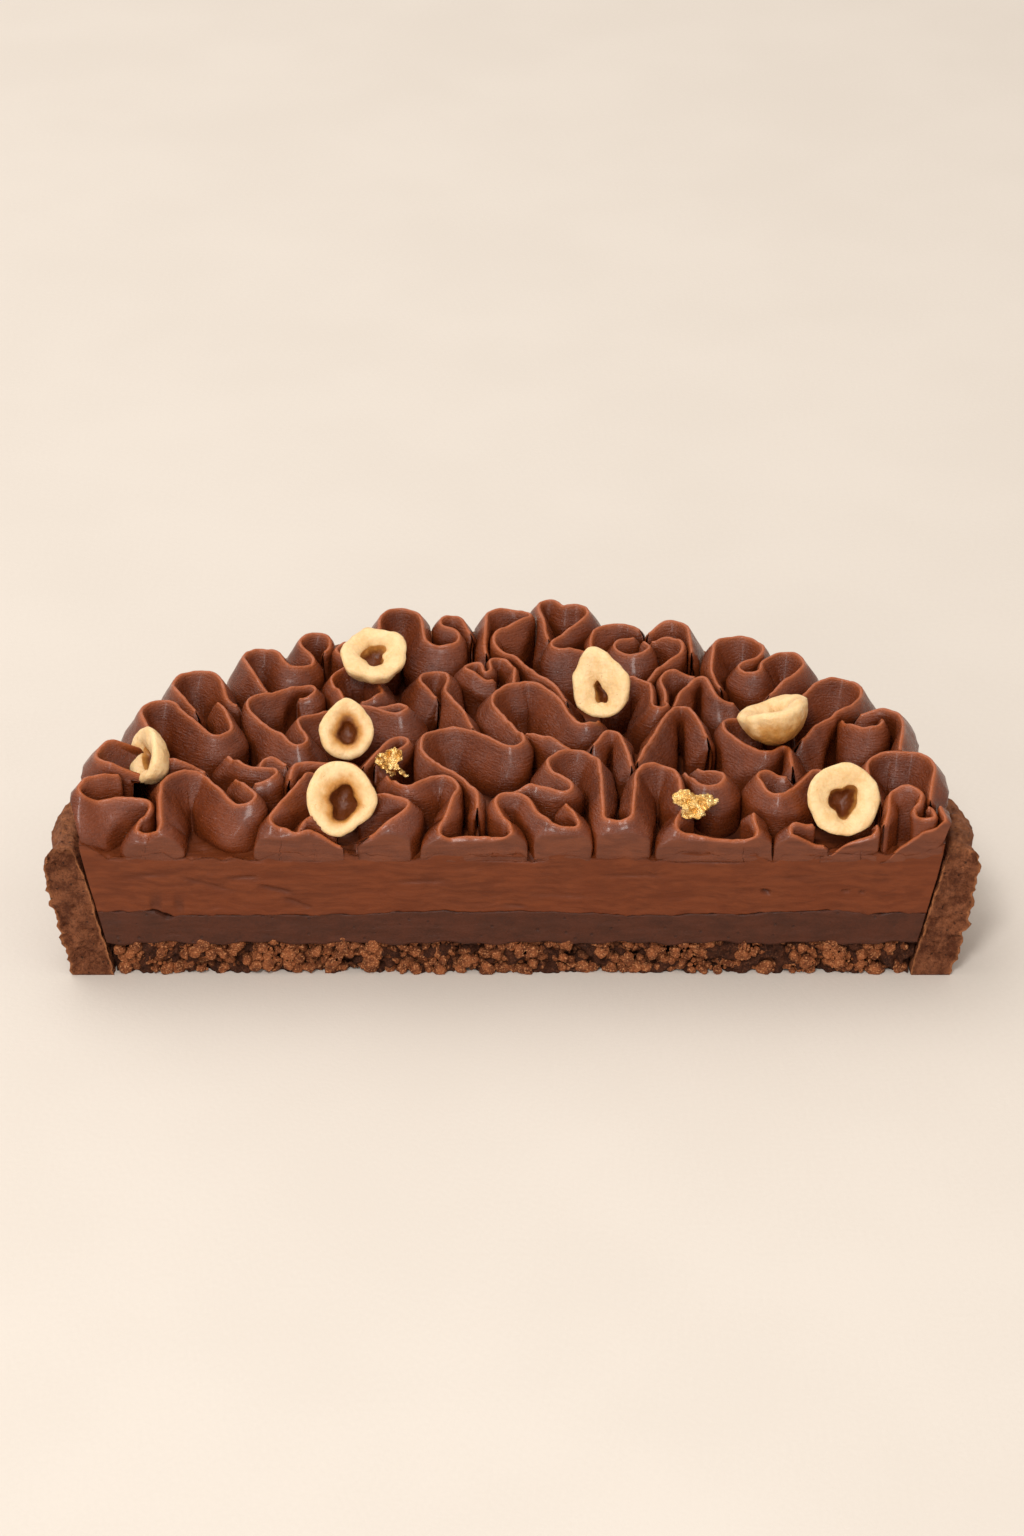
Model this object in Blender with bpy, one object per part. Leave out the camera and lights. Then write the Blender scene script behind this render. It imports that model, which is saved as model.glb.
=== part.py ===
"""Chocolate tart, cut in half across its middle.

A fluted crust holds a crumb base, dark ganache and milk chocolate cream. Ribbons of the same cream are piped
over it in upright folds, with toasted hazelnut halves set on them.

Sizes are in millimetres here and the model is in metres, +Z up. The origin is at the middle of the underside
of the bounding box. +X runs along the cut face and +Y points away from it.
"""

import math

import bmesh
import bpy
import numpy as np
from mathutils import Matrix, Vector

METRE = 0.001
CLEARANCE = 0.3
FOOT_GAP = 0.45

# Crust
RIM_RADIUS = 101.0
RIM_HEIGHT = 31.8
FOOT_RADIUS = 95.6
WALL_INSIDE_RIM = 92.8
WALL_INSIDE_FOOT = 86.4
FLUTE_PITCH = math.radians(11.56)
FLUTE_DEPTH_RIM = 2.7
FLUTE_DEPTH_FOOT = 1.8
STEPS_PER_FLUTE = 5

# Filling, from the bottom up
CRUMB_TOP = 8.2
GANACHE_TOP = 15.9
CREAM_TOP = 29.5
CREAM_EDGE_RISE = 2.4
CREAM_EDGE_WIDTH = 5.5
FILLING_COLUMNS = 22

# Piped ribbons
LIP_HEIGHT = 42.0
EDGE_RISE = 4.0
EDGE_RISE_FROM = 65.0
EDGE_RISE_OVER = 25.0
SLUMP_SLOPE = 0.606
SLUMP_REACH = 6.0
CORNER_SETBACK = 4.5
CORNER_AT = -86.0
CORNER_WIDTH = 8.0
CORNER_DEPTH = 20.0
ROUTE_STEP = 1.5
FOLD_AXIS_SPREAD = 9.0
RIBBON_LEVELS = (0.0, 0.5, 1.0)
FOLD_SPREAD = (0.62, 1.03, 0.96)
RIBBON_HALF_WALL = (2.0, 1.35, 0.65)
THINNEST_HALF_WALL = 0.25
NEAREST_ROUTES = 1.9
AIR_BETWEEN_RIBBONS = 0.9
FACET_ERROR = 0.32

# Each stroke of the piping bag: its start, the folds it runs round as (x, y, radius), and its end, with y
# measured from the cut. A positive radius is rounded anticlockwise and a negative one clockwise.
STROKES = [
    [(-84, 17.5, 0), (-87.3, 9.3, 5.4), (-79.6, 3.6, -2.7), (-77.3, -6.8, 2.4), (-70, 12.3, -5), (-57, 6, 2.7),
     (-59.5, 16, 0)],
    [(-82, 30.5, 0), (-85.2, 24, 4.8), (-82, 18.5, 0)],
    [(-66, 17.5, 0), (-72.8, 24, -3), (-77, 41.8, -4.4), (-63.8, 35, 2.9), (-65, 48, 0)],
    [(-69.5, 44, 0), (-69.8, 54, -5.4), (-61.5, 49.5, 2), (-60.8, 46.8, 0)],
    [(-47.5, 50, 0), (-44.8, 52, 1.8), (-54.2, 45.4, 4.6), (-46.7, 29.6, 2.3), (-43.6, 37.6, -3.9),
     (-35, 41, -4), (-24.4, 43, 1.9), (-30, 45.6, 0)],
    [(-54, 51.5, 0), (-56, 65.5, -4.3), (-47.8, 65.6, 3.6), (-44.3, 73.3, -3.7), (-42.3, 70.5, 0)],
    [(-34.5, 75, 0), (-36.8, 69.5, 3.2), (-34, 63, 0)],
    [(-37.3, 47.8, 0), (-35.4, 57, -5), (-30.6, 50.4, -2.4), (-34, 48.6, 0)],
    [(-30.3, 76, 0), (-25.4, 82.8, -4.9), (-16, 75.4, 4.1), (-14, 82.2, -2.8), (-9.8, 78.5, 0)],
    [(-29.5, 22, 0), (-24.5, 29.3, 2), (-32, 21.5, 0)],
    [(-27, 17, 0), (-22.2, 12.2, 2.2), (-15.5, 10.6, -4.4), (-12.7, -7.6, 3.1), (-8, -12.4, -3.4),
     (-2.4, -8.2, 2.4), (-0.2, 4.2, -3.6), (11.4, -4, 2.9), (11.5, 6, 0)],
    [(-62, 24.5, 0), (-58.5, 19.3, 0), (-52.6, 15.6, -2.4), (-55.5, 12.8, 0)],
    [(-54.8, 20, 0), (-52.8, 21.7, -1.9), (-49, 20.5, 0)],
    [(-40, 18, 0), (-42, 15.8, 2), (-48.1, -3.1, 3.5), (-44, -11, -3.6), (-36.5, -12.5, 0)],
    [(-45.3, -6.5, 0), (-42.6, -4, -2.6), (-38, -3, 0)],
    [(-48, 15, 0), (-45, 17.3, -2.6), (-35.5, 18.2, -2.4), (-31.5, 14, 0)],
    [(-31, 10.5, 0), (-23.8, 3, -2.4), (-30.5, -9, 0)],
    [(-7.5, 3, 0), (-7.4, 7.5, 0), (-12.6, 28.3, -7.4), (0.4, 30, 2.7), (2.6, 47.2, -7.5), (16.3, 39.3, 2.6),
     (19, 41, 0)],
    [(3, 34.5, 0), (7, 31, 0), (12.5, 27.8, 0)],
    [(-1, 9, 0), (3.5, 6, -5), (11, 10, 2.2), (13.5, 19.8, -5.6), (22.6, -1, 3.4), (31.3, 14.2, -4.8),
     (37, 7, 0)],
    [(36.3, 4, 0), (38.3, -5, 3.5), (47.8, -8.2, 4.4), (51.5, 1, 0)],
    [(-16.5, 50.3, 0), (-17.4, 56.6, -3.7), (-12.3, 51, 2.6), (-8.5, 37, 0)],
    [(-4, 58.3, 0), (-8.2, 61.7, -2.6), (-5.5, 59.2, 0.6), (-2.4, 63, -3.2), (0.8, 55, 0)],
    [(-5.5, 70, 0), (-1.4, 84, -4.6), (3.8, 86, -1), (0.7, 73.6, 5.2), (12.3, 48.5, 0)],
    [(8.5, 77, 0), (8.4, 89.9, -2.7), (12.2, 90.5, 1), (14.6, 87, -3.2), (11, 72.3, 2.4), (18, 71, 0)],
    [(18, 71, 0), (24.6, 75.4, -6.7), (29.3, 80.2, 0)],
    [(27.8, 76.8, 0), (27.2, 71, 4.3), (29.8, 74.6, 0)],
    [(31.4, 75.8, 0), (33.8, 70.8, -5.2), (29.5, 55.5, 0)],
    [(30.8, 78.8, 0), (35.6, 78, -4.6), (40.7, 70, 0)],
    [(46.6, 54, 0), (44.4, 60, 0), (51, 70.3, -5.8), (53.2, 61.6, 2.8), (60.6, 63.4, -4.8), (57, 50, 0)],
    [(22, 57, 0), (26.3, 52.7, -4.9), (32.8, 45.2, 2.1), (37.8, 55.8, -4.5), (41.3, 59.5, 0)],
    [(35, 47, 0), (42.6, 57, -0.7), (46.3, 49.6, 1), (49.3, 48.8, 0)],
    [(27.5, 22.5, 0), (37.2, 42.5, -2), (42.5, 33, 0)],
    [(18, 29.5, 0), (21.9, 31.2, -2.3), (26, 20, 0)],
    [(53, 40, 0), (49.8, 36, 3.6), (55.2, 26.6, 2.4), (58.8, 26.5, -1.2), (60.5, 20.5, 0)],
    [(59.5, 16.5, 0), (55.3, 15, 2.6), (57.2, 8.6, 2.4), (66.3, 15.8, -2.3), (71, 15, 0)],
    [(64, -3, 0), (62.3, -8.3, 3.4), (67, -12, 0)],
    [(67.5, -15, 0), (73.6, -6.5, 3.7), (77.2, -4, 0)],
    [(79.4, -3, 0), (84, 7.2, -3.5), (87.9, -0.8, 2.1), (88.8, 4, 0)],
    [(91.5, 4, 0), (87.5, -3, -4.6), (79, -19, 0)],
    [(78.3, 9, 0), (83.5, 18.6, -7.2), (89, 7.5, 0)],
    [(63, 31, 0), (71.2, 50.8, 6.1), (64, 50.5, 0)],
    [(72, 41.5, 0), (77, 37.8, 3.8), (81, 41, 0)],
    [(76.3, 43, 0), (80.3, 38.5, -5), (83.8, 26, 0)],
    [(37, 17.5, 0), (42.3, 14.3, 3.7), (40, 20, 0)],
]

# Hazelnut halves: middle of the cut face (x, y from the cut, z), the way that face looks, its half width and
# half length, the depth of the round back, how far one end is drawn to a point, and the turn of that end.
HAZELNUTS = [
    ((-31.0, 59.5, 46.6), (0.0, -0.25, 1.0), 8.3, 7.4, 5.2, 0.0, 90),
    ((-35.8, 28.4, 44.6), (0.05, -0.75, 0.75), 5.8, 6.7, 5.0, 0.12, 5),
    ((-36.5, 6.6, 41.0), (0.05, -0.8, 0.62), 7.3, 7.9, 5.4, 0.06, 0),
    ((-79.5, 19.2, 44.0), (-0.82, -0.25, 0.5), 5.6, 7.9, 5.6, 0.05, 10),
    ((19.6, 46.6, 45.6), (-0.3, -0.7, 0.65), 6.6, 8.4, 5.8, 0.3, 0),
    ((57.0, 33.2, 47.6), (-0.25, 0.3, 0.92), 8.7, 7.6, 8.0, 0.05, 70),
    ((70.6, 6.2, 41.0), (0.05, -0.8, 0.62), 7.7, 7.9, 5.4, 0.0, 0),
]
NUT_SEGMENTS = 14
HOLLOW_WIDTH = 0.42
HOLLOW_DEPTH = 0.5
SEAT_CLEARANCE = 0.45

COLOURS = {
    "crust": (0.052, 0.021, 0.012),
    "crumb": (0.17, 0.075, 0.035),
    "ganache": (0.062, 0.026, 0.016),
    "cream": (0.16, 0.045, 0.023),
    "hazelnut": (0.80, 0.56, 0.27),
}
ROUGHNESS = {"crust": 0.85, "crumb": 0.8, "ganache": 0.5, "cream": 0.38, "hazelnut": 0.5}

materials = {}


def clear_scene():
    for thing in list(bpy.data.objects):
        bpy.data.objects.remove(thing)


def make_materials():
    for name, colour in COLOURS.items():
        material = bpy.data.materials.new(name)
        material.use_nodes = True
        shader = material.node_tree.nodes["Principled BSDF"]
        shader.inputs["Base Color"].default_value = (*colour, 1)
        shader.inputs["Roughness"].default_value = ROUGHNESS[name]
        shader.inputs["Metallic"].default_value = 0
        materials[name] = material


def ease(value):
    """Smooth step from 0 to 1."""
    value = np.clip(value, 0, 1)
    return value * value * (3 - 2 * value)


def in_frame(points):
    """Millimetres measured from the cut face, as metres in the tart's frame."""
    return (np.asarray(points, float) - (0, RIM_RADIUS / 2, 0)) * METRE


def solid(name, points, faces, material):
    """One closed solid from points in millimetres; points that coincide are joined."""
    mesh = bpy.data.meshes.new(name)
    mesh.from_pydata([tuple(point) for point in in_frame(points)], [], faces)
    form = bmesh.new()
    form.from_mesh(mesh)
    bmesh.ops.remove_doubles(form, verts=form.verts, dist=0.00001)
    bmesh.ops.recalc_face_normals(form, faces=form.faces)
    form.to_mesh(mesh)
    form.free()
    mesh.shade_smooth()
    mesh.set_sharp_from_angle(angle=math.radians(40))
    mesh.materials.append(materials[material])
    thing = bpy.data.objects.new(name, mesh)
    bpy.context.scene.collection.objects.link(thing)
    return thing


def hide_cutter(cutter):
    cutter.hide_render = True
    cutter.display_type = "WIRE"
    return cutter


def cut_away(thing, cutter):
    modifier = thing.modifiers.new("cut", "BOOLEAN")
    modifier.operation = "DIFFERENCE"
    modifier.object = cutter


def strip_faces(rows, columns, closed):
    """Quads between neighbouring rows of points; a closed strip also joins each row's last point to its first."""
    faces = []
    for row in range(rows - 1):
        for column in range(columns if closed else columns - 1):
            here = row * columns + column
            beside = row * columns + (column + 1) % columns
            faces.append((here, beside, beside + columns, here + columns))
    return faces


def wall_inside(height):
    """Radius of the crust's inner face at a height."""
    return WALL_INSIDE_FOOT + (WALL_INSIDE_RIM - WALL_INSIDE_FOOT) * height / RIM_HEIGHT


def crust_section(angle):
    """Section of the crust wall at an angle, as (radius, height) points from the foot up, over and down."""
    flute = 1 - abs(math.cos((angle - math.pi / 2) * math.pi / FLUTE_PITCH))
    waver = 0.35 * math.sin(7.3 * angle) + 0.25 * math.sin(17.9 * angle + 1)
    foot = FOOT_RADIUS - FLUTE_DEPTH_FOOT * flute
    rim = RIM_RADIUS - FLUTE_DEPTH_RIM * flute
    height = RIM_HEIGHT + waver * 0.6
    half = (foot + rim) / 2 + 0.3
    return [
        (foot, 0),
        (half, height / 2),
        (rim, height - 2.6),
        (rim - 1.5, height - 0.3),
        (wall_inside(RIM_HEIGHT) + 2.4, height),
        (wall_inside(RIM_HEIGHT) + 0.2, height - 1.8),
        (wall_inside(0), 0),
    ]


def make_crust():
    steps = round(math.pi / FLUTE_PITCH * STEPS_PER_FLUTE)
    points = []
    for step in range(steps + 1):
        angle = math.pi * step / steps
        section = crust_section(angle)
        points += [(r * math.cos(angle), r * math.sin(angle), z) for r, z in section]
    size = len(section)
    faces = strip_faces(steps + 1, size, closed=True)
    faces.append(tuple(range(size)))
    faces.append(tuple(range(steps * size, steps * size + size))[::-1])
    solid("crust_wall", points, faces, "crust")


def layer_surface(name, x, y):
    """Height of the surface between two fillings, wavy along the tart as each was spread."""
    if name == "crumb":
        return CRUMB_TOP + 0.35 * np.sin(0.31 * x) + 0.2 * np.sin(0.83 * x + 1)
    if name == "ganache":
        return GANACHE_TOP + 0.45 * np.sin(0.075 * x + 2) + 0.3 * np.sin(0.21 * x)
    edge = (np.hypot(x, y) - (wall_inside(RIM_HEIGHT) - CREAM_EDGE_WIDTH)) / CREAM_EDGE_WIDTH
    return CREAM_TOP + CREAM_EDGE_RISE * np.clip(edge, 0, 1)


def make_layer(name, below, above, material):
    """One filling: a half disc between two wavy surfaces, fitting inside the sloping crust."""
    rim = wall_inside(RIM_HEIGHT)
    reaches = (0.0, 0.35, 0.7, 1 - CREAM_EDGE_WIDTH / rim, 1.0)
    points = []
    for surface, gap in ((below, CLEARANCE / 2), (above, -CLEARANCE / 2)):
        for column in range(FILLING_COLUMNS + 1):
            angle = math.pi * column / FILLING_COLUMNS
            for reach in reaches:
                x = math.cos(angle) * reach
                y = math.sin(angle) * reach
                height = 0 if surface == "floor" else float(layer_surface(surface, x * rim, y * rim))
                radius = wall_inside(height) - CLEARANCE
                lift = 0 if surface in ("floor", "cream") else gap
                points.append((x * radius, y * radius, height + lift))
    rows = FILLING_COLUMNS + 1
    columns = len(reaches)
    count = rows * columns
    bottom = []
    for a, b, c, d in strip_faces(rows, columns, closed=False):
        bottom += [(a, b, c), (a, c, d)]
    faces = bottom + [tuple(corner + count for corner in face)[::-1] for face in bottom]
    for row in range(FILLING_COLUMNS):
        here = row * columns + columns - 1
        faces.append((here, here + columns, here + columns + count, here + count))
    for row in (0, FILLING_COLUMNS):
        for column in range(columns - 1):
            here = row * columns + column
            faces.append((here, here + 1, here + 1 + count, here + count))
    solid(name, points, faces, material)


def wrap_folds(folds):
    """A stroke's route round its folds, like a belt over pulleys: straight runs joined by arcs."""
    headings = []
    for (x0, y0, r0), (x1, y1, r1) in zip(folds, folds[1:]):
        swing = math.asin(max(-1, min(1, (r0 - r1) / math.hypot(x1 - x0, y1 - y0))))
        headings.append(math.atan2(y1 - y0, x1 - x0) + swing)
    route = [folds[0][:2]]
    for (x, y, radius), arriving, leaving in zip(folds[1:-1], headings, headings[1:]):
        turn = (leaving - arriving) % math.tau if radius > 0 else -((arriving - leaving) % math.tau)
        steps = max(1, math.ceil(abs(turn * radius) / ROUTE_STEP * 2)) if radius else 1
        for step in range(steps + 1):
            heading = arriving + turn * step / steps
            route.append((x + radius * math.sin(heading), y - radius * math.cos(heading)))
    route.append(folds[-1][:2])
    return np.array(route, float)


def even_steps(route, step):
    """The same route with points about one step apart."""
    lengths = np.concatenate([[0], np.cumsum(np.hypot(*np.diff(route, axis=0).T))])
    stops = np.linspace(0, lengths[-1], max(4, round(lengths[-1] / step) + 1))
    return np.column_stack([np.interp(stops, lengths, route[:, axis]) for axis in range(route.shape[1])])


def softened(route, spread):
    """The route averaged along its length over a bell of the given spread, in steps."""
    reach = max(1, math.ceil(spread * 2.5))
    bell = np.exp(-0.5 * (np.arange(-reach, reach + 1) / spread) ** 2)
    bell /= bell.sum()
    padded = np.pad(route, ((reach, reach), (0, 0)), mode="edge")
    return np.column_stack([np.convolve(column, bell, mode="valid") for column in padded.T])


def stand_on_tart(plan):
    """Where each point of a route stands, with the height of its lip.

    The lips rise towards the rim, and near the cut they slump: each slides down one slope and stops behind
    the cut face. The left front corner sits a little further back down the same slope.
    """
    x, y = plan.T
    rise = EDGE_RISE * ease((np.hypot(x, y) - EDGE_RISE_FROM) / EDGE_RISE_OVER)
    raised = y - rise / SLUMP_SLOPE
    back = SLUMP_REACH * np.log1p(np.exp(raised / SLUMP_REACH))
    back += CORNER_SETBACK * np.exp(-(((x - CORNER_AT) / CORNER_WIDTH) ** 2)) * (1 - ease(y / CORNER_DEPTH))
    lip = LIP_HEIGHT + rise - (back - raised) * SLUMP_SLOPE
    return np.column_stack([x, back, lip])


def pair_gaps(routes, nearest):
    """For every point: the closest passing wall's point, its distance and offset, over all the strokes."""
    places = np.concatenate(routes)
    stroke = np.concatenate([np.full(len(route), number) for number, route in enumerate(routes)])
    along = np.arange(len(places)) * ROUTE_STEP
    offset = places[:, None] - places[None]
    distance = np.hypot(offset[..., 0], offset[..., 1])
    same = stroke[:, None] == stroke[None]
    beside = same & (np.abs(along[:, None] - along[None]) < np.maximum(1.45 * distance, 2.2 * nearest))
    distance[beside] = np.inf
    return distance, offset


def keep_apart(routes, nearest, rounds=40):
    """Routes moved sideways until no wall passes another closer than the given distance."""
    routes = [route.copy() for route in routes]
    sizes = np.cumsum([len(route) for route in routes])[:-1]
    for _ in range(rounds):
        distance, offset = pair_gaps(routes, nearest)
        short = np.clip(nearest - distance, 0, None)
        if short.max() < 0.02:
            break
        pull = short / np.maximum(distance, 0.05)
        worst = short.max(axis=1)
        push = (offset * pull[..., None]).sum(axis=1) / np.maximum((short > 0).sum(axis=1), 1)[:, None]
        push[worst == 0] = 0
        for route, shift in zip(routes, np.split(push, sizes)):
            route += softened(shift * 0.9, 0.7)
    return routes


def sideways(route):
    """Unit vectors to the left of a route, and how sharply it bends to the left, per millimetre."""
    along = np.gradient(route, axis=0)
    length = np.maximum(np.hypot(*along.T), 1e-6)
    along /= length[:, None]
    left = np.column_stack([-along[:, 1], along[:, 0]])
    bend = (np.gradient(along, axis=0) * left).sum(axis=1) / length
    return left, bend


def key_stations(route, error):
    """Indices of the points that a route needs, so that the straight runs stay within an error of it."""
    keep = [0]
    while keep[-1] < len(route) - 1:
        start = keep[-1]
        end = start + 1
        while end + 1 < len(route) and run_error(route[start:end + 2]) < error:
            end += 1
        keep.append(end)
    return keep


def run_error(run):
    """How far the points of a run stray from the straight line between its ends."""
    across = run[-1] - run[0]
    length = max(math.hypot(*across), 1e-6)
    away = run - run[0]
    return float(np.abs(away[:, 0] * across[1] - away[:, 1] * across[0]).max() / length)


def make_ribbons(knife, seats):
    """The piped ribbons: upright walls that follow their routes, narrow at the foot and full at the waist."""
    standing = [stand_on_tart(softened(even_steps(wrap_folds(folds), ROUTE_STEP), 0.8)) for folds in STROKES]
    lips = [route[:, 2] for route in standing]
    plans = keep_apart([route[:, :2] for route in standing], NEAREST_ROUTES)
    axes = [softened(plan, FOLD_AXIS_SPREAD / ROUTE_STEP) for plan in plans]
    levels = []
    for spread, wall in zip(FOLD_SPREAD, RIBBON_HALF_WALL):
        routes = [axis + (plan - axis) * spread for plan, axis in zip(plans, axes)]
        routes = keep_apart(routes, NEAREST_ROUTES)
        clear = np.split(pair_gaps(routes, NEAREST_ROUTES)[0].min(axis=1),
                         np.cumsum([len(route) for route in routes])[:-1])
        levels.append((routes, clear, wall))
    for number, lip in enumerate(lips):
        make_ribbon(number, lip, levels, knife, seats)


def ribbon_sides(route, clear, wall):
    """The two faces of a wall along a route, thinned where it bends sharply or passes another closely."""
    left, bend = sideways(route)
    half = np.clip((clear - AIR_BETWEEN_RIBBONS) / 2, THINNEST_HALF_WALL, wall)
    room = 0.7 / np.maximum(np.abs(softened(bend[:, None], 1.0)[:, 0]), 0.01)
    inner = np.clip(np.minimum(half, room), THINNEST_HALF_WALL, None)
    on_left = np.where(bend > 0, inner, half)
    on_right = np.where(bend > 0, half, inner)
    return route + left * on_left[:, None], route - left * on_right[:, None]


def make_ribbon(number, lip, levels, knife, seats):
    faces_of_levels = []
    for routes, clear, wall in levels:
        faces_of_levels.append(ribbon_sides(routes[number], clear[number], wall))
    size = len(RIBBON_LEVELS) * 2
    points = []
    keep = key_stations(levels[-1][0][number], FACET_ERROR)
    for station in keep:
        rim = lip[station]
        ring = [(*left[station], level) for (left, _), level in zip(faces_of_levels, RIBBON_LEVELS)]
        ring += [(*right[station], level) for (_, right), level in zip(faces_of_levels, RIBBON_LEVELS)][::-1]
        for x, y, level in ring:
            foot = float(layer_surface("cream", x, y)) + FOOT_GAP
            points.append((x, y, foot + (rim - foot) * level))
    faces = strip_faces(len(keep), size, closed=True)
    faces.append(tuple(range(size)))
    faces.append(tuple(range(len(points) - size, len(points)))[::-1])
    ribbon = solid(f"ribbon_{number + 1:02d}", points, faces, "cream")
    corners = np.array(points)
    if corners[:, 1].min() < 0:
        cut_away(ribbon, knife)
    for (middle, _, width, length, _, _, _), seat in zip(HAZELNUTS, seats):
        reach = max(width, length) + 2
        if np.linalg.norm(corners - middle, axis=1).min() < reach:
            cut_away(ribbon, seat)


def nut_points(width, length, depth, point, grow, hollow):
    """A hazelnut half with its cut face up: rings from the round back, over the edge, into the hollow."""
    rings = [(math.cos(tip), -math.sin(tip) * depth - grow * math.sin(tip)) for tip in (1.15, 0.7, 0.25)]
    rings.append((1.0, -0.1 * depth))
    rings.append((0.93, grow))
    if hollow:
        rings.append((HOLLOW_WIDTH, -0.15))
        rings.append((HOLLOW_WIDTH * 0.6, -HOLLOW_DEPTH * depth))
    points = [(0, 0, -depth - grow)]
    for scale, height in rings:
        for segment in range(NUT_SEGMENTS):
            angle = math.tau * segment / NUT_SEGMENTS
            drawn = 1 + point * max(0, math.sin(angle)) ** 3
            x = (width + grow) * scale * math.cos(angle) * (1 - point * 0.5 * max(0, math.sin(angle)))
            y = (length + grow) * scale * math.sin(angle) * drawn / (1 + point / 2)
            points.append((x, y, height))
    points.append((0, 0, -HOLLOW_DEPTH * depth * 1.05 if hollow else grow))
    return points, len(rings)


def make_nut(name, placing, grow, hollow):
    middle, normal, width, length, depth, point, turn = placing
    points, rings = nut_points(width, length, depth, point, grow, hollow)
    up = Vector(normal).normalized()
    across = Vector((0, 1, 0)).cross(up).normalized() if abs(up.y) < 0.95 else Vector((1, 0, 0))
    along = up.cross(across)
    frame = Matrix((across, along, up)).transposed() @ Matrix.Rotation(math.radians(turn), 3, "Z")
    placed = [Vector(middle) + frame @ Vector(place) for place in points]
    faces = [tuple(corner + 1 for corner in face) for face in strip_faces(rings, NUT_SEGMENTS, closed=True)]
    last = len(points) - 1
    for segment in range(NUT_SEGMENTS):
        beside = (segment + 1) % NUT_SEGMENTS
        faces.append((0, 1 + beside, 1 + segment))
        faces.append((last, last - NUT_SEGMENTS + segment, last - NUT_SEGMENTS + beside))
    return solid(name, placed, faces, "hazelnut")


def make_knife():
    """A block in front of the cut face, which trims what was piped across it."""
    low = (-RIM_RADIUS * 1.2, -30, -10)
    high = (RIM_RADIUS * 1.2, 0, 80)
    points = [(x, y, z) for x in (low[0], high[0]) for y in (low[1], high[1]) for z in (low[2], high[2])]
    faces = [(0, 1, 3, 2), (4, 6, 7, 5), (0, 4, 5, 1), (2, 3, 7, 6), (0, 2, 6, 4), (1, 5, 7, 3)]
    return hide_cutter(solid("knife", points, faces, "cream"))


def main():
    clear_scene()
    make_materials()
    make_crust()
    make_layer("crumb_base", "floor", "crumb", "crumb")
    make_layer("dark_ganache", "crumb", "ganache", "ganache")
    make_layer("milk_cream", "ganache", "cream", "cream")
    knife = make_knife()
    seats = []
    for number, placing in enumerate(HAZELNUTS, 1):
        make_nut(f"hazelnut_{number}", placing, 0, hollow=True)
        seats.append(hide_cutter(make_nut(f"seat_{number}", placing, SEAT_CLEARANCE, hollow=False)))
    make_ribbons(knife, seats)


main()
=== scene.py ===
"""Chocolate tart, cut in half across its middle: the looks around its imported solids.

Shapes are worked out in millimetres, with y measured from the cut face, and turned into the tart's frame, in
metres, by make_piece.
"""

import math

import bmesh
import bpy
import numpy as np
from mathutils import Matrix, Vector


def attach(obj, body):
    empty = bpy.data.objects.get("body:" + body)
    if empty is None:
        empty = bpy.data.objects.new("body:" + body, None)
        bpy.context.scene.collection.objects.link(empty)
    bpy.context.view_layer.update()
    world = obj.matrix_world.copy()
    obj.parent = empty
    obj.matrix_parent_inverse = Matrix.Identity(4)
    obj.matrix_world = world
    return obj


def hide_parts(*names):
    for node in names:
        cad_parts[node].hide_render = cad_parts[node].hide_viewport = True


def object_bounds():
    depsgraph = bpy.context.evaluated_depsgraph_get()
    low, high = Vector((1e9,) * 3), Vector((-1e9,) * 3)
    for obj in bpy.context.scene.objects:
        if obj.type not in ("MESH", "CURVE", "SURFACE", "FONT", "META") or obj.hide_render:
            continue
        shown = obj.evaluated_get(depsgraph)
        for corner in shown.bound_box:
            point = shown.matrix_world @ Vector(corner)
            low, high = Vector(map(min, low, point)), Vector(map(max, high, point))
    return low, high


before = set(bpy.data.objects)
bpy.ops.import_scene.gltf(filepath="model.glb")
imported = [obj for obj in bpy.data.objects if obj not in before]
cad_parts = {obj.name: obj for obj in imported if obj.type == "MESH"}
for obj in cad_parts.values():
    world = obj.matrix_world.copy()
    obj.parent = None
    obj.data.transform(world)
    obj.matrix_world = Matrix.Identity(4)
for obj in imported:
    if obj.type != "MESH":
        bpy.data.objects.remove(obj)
CAD_LOW, CAD_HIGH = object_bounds()

MM = 0.001
CUT = CAD_LOW.y / MM
RIM_RADIUS = 101.0

# Crust
RIM_HEIGHT = 31.8
FOOT_RADIUS = 95.6
WALL_INSIDE_RIM = 92.8
WALL_INSIDE_FOOT = 86.4
FLUTE_PITCH = math.radians(11.56)
FLUTE_DEPTH_RIM = 2.7
FLUTE_DEPTH_FOOT = 1.8

# Filling, from the bottom up
CRUMB_TOP = 8.2
GANACHE_TOP = 15.9
CREAM_TOP = 29.5
CREAM_EDGE_RISE = 2.4
CREAM_EDGE_WIDTH = 5.5
WALL_GAP = 0.3

# Piped ribbons
LIP_HEIGHT = 42.0
EDGE_RISE = 4.0
EDGE_RISE_FROM = 65.0
EDGE_RISE_OVER = 25.0
SLUMP_SLOPE = 0.606
SLUMP_REACH = 6.0
CORNER_SETBACK = 4.5
CORNER_AT = -86.0
CORNER_WIDTH = 8.0
CORNER_DEPTH = 20.0
ROUTE_STEP = 1.5
FINER_BY = 3
FOLD_AXIS_SPREAD = 9.0
FOOT_SPREAD = 0.62
SPREAD_RISE = 1.30
SPREAD_BEND = -0.96
UPRIGHT_NEAR_CUT = 9.0
NEAREST_ROUTES = 1.9
AIR_BETWEEN_RIBBONS = 0.4
LEVELS = (0.0, 1 / 3, 2 / 3, 1.0)
RINGS = 14
WALL_AT = (0.0, 0.15, 0.3, 0.45, 0.6, 0.75, 0.87, 0.95, 1.0)
HALF_WALL = (4.2, 5.2, 5.5, 5.0, 4.0, 2.7, 1.6, 0.95, 0.42)
THINNEST_HALF_WALL = 0.3
MOST_HALF_WALL = 12.0
NEAREST_TO_CUT = 0.55
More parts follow.
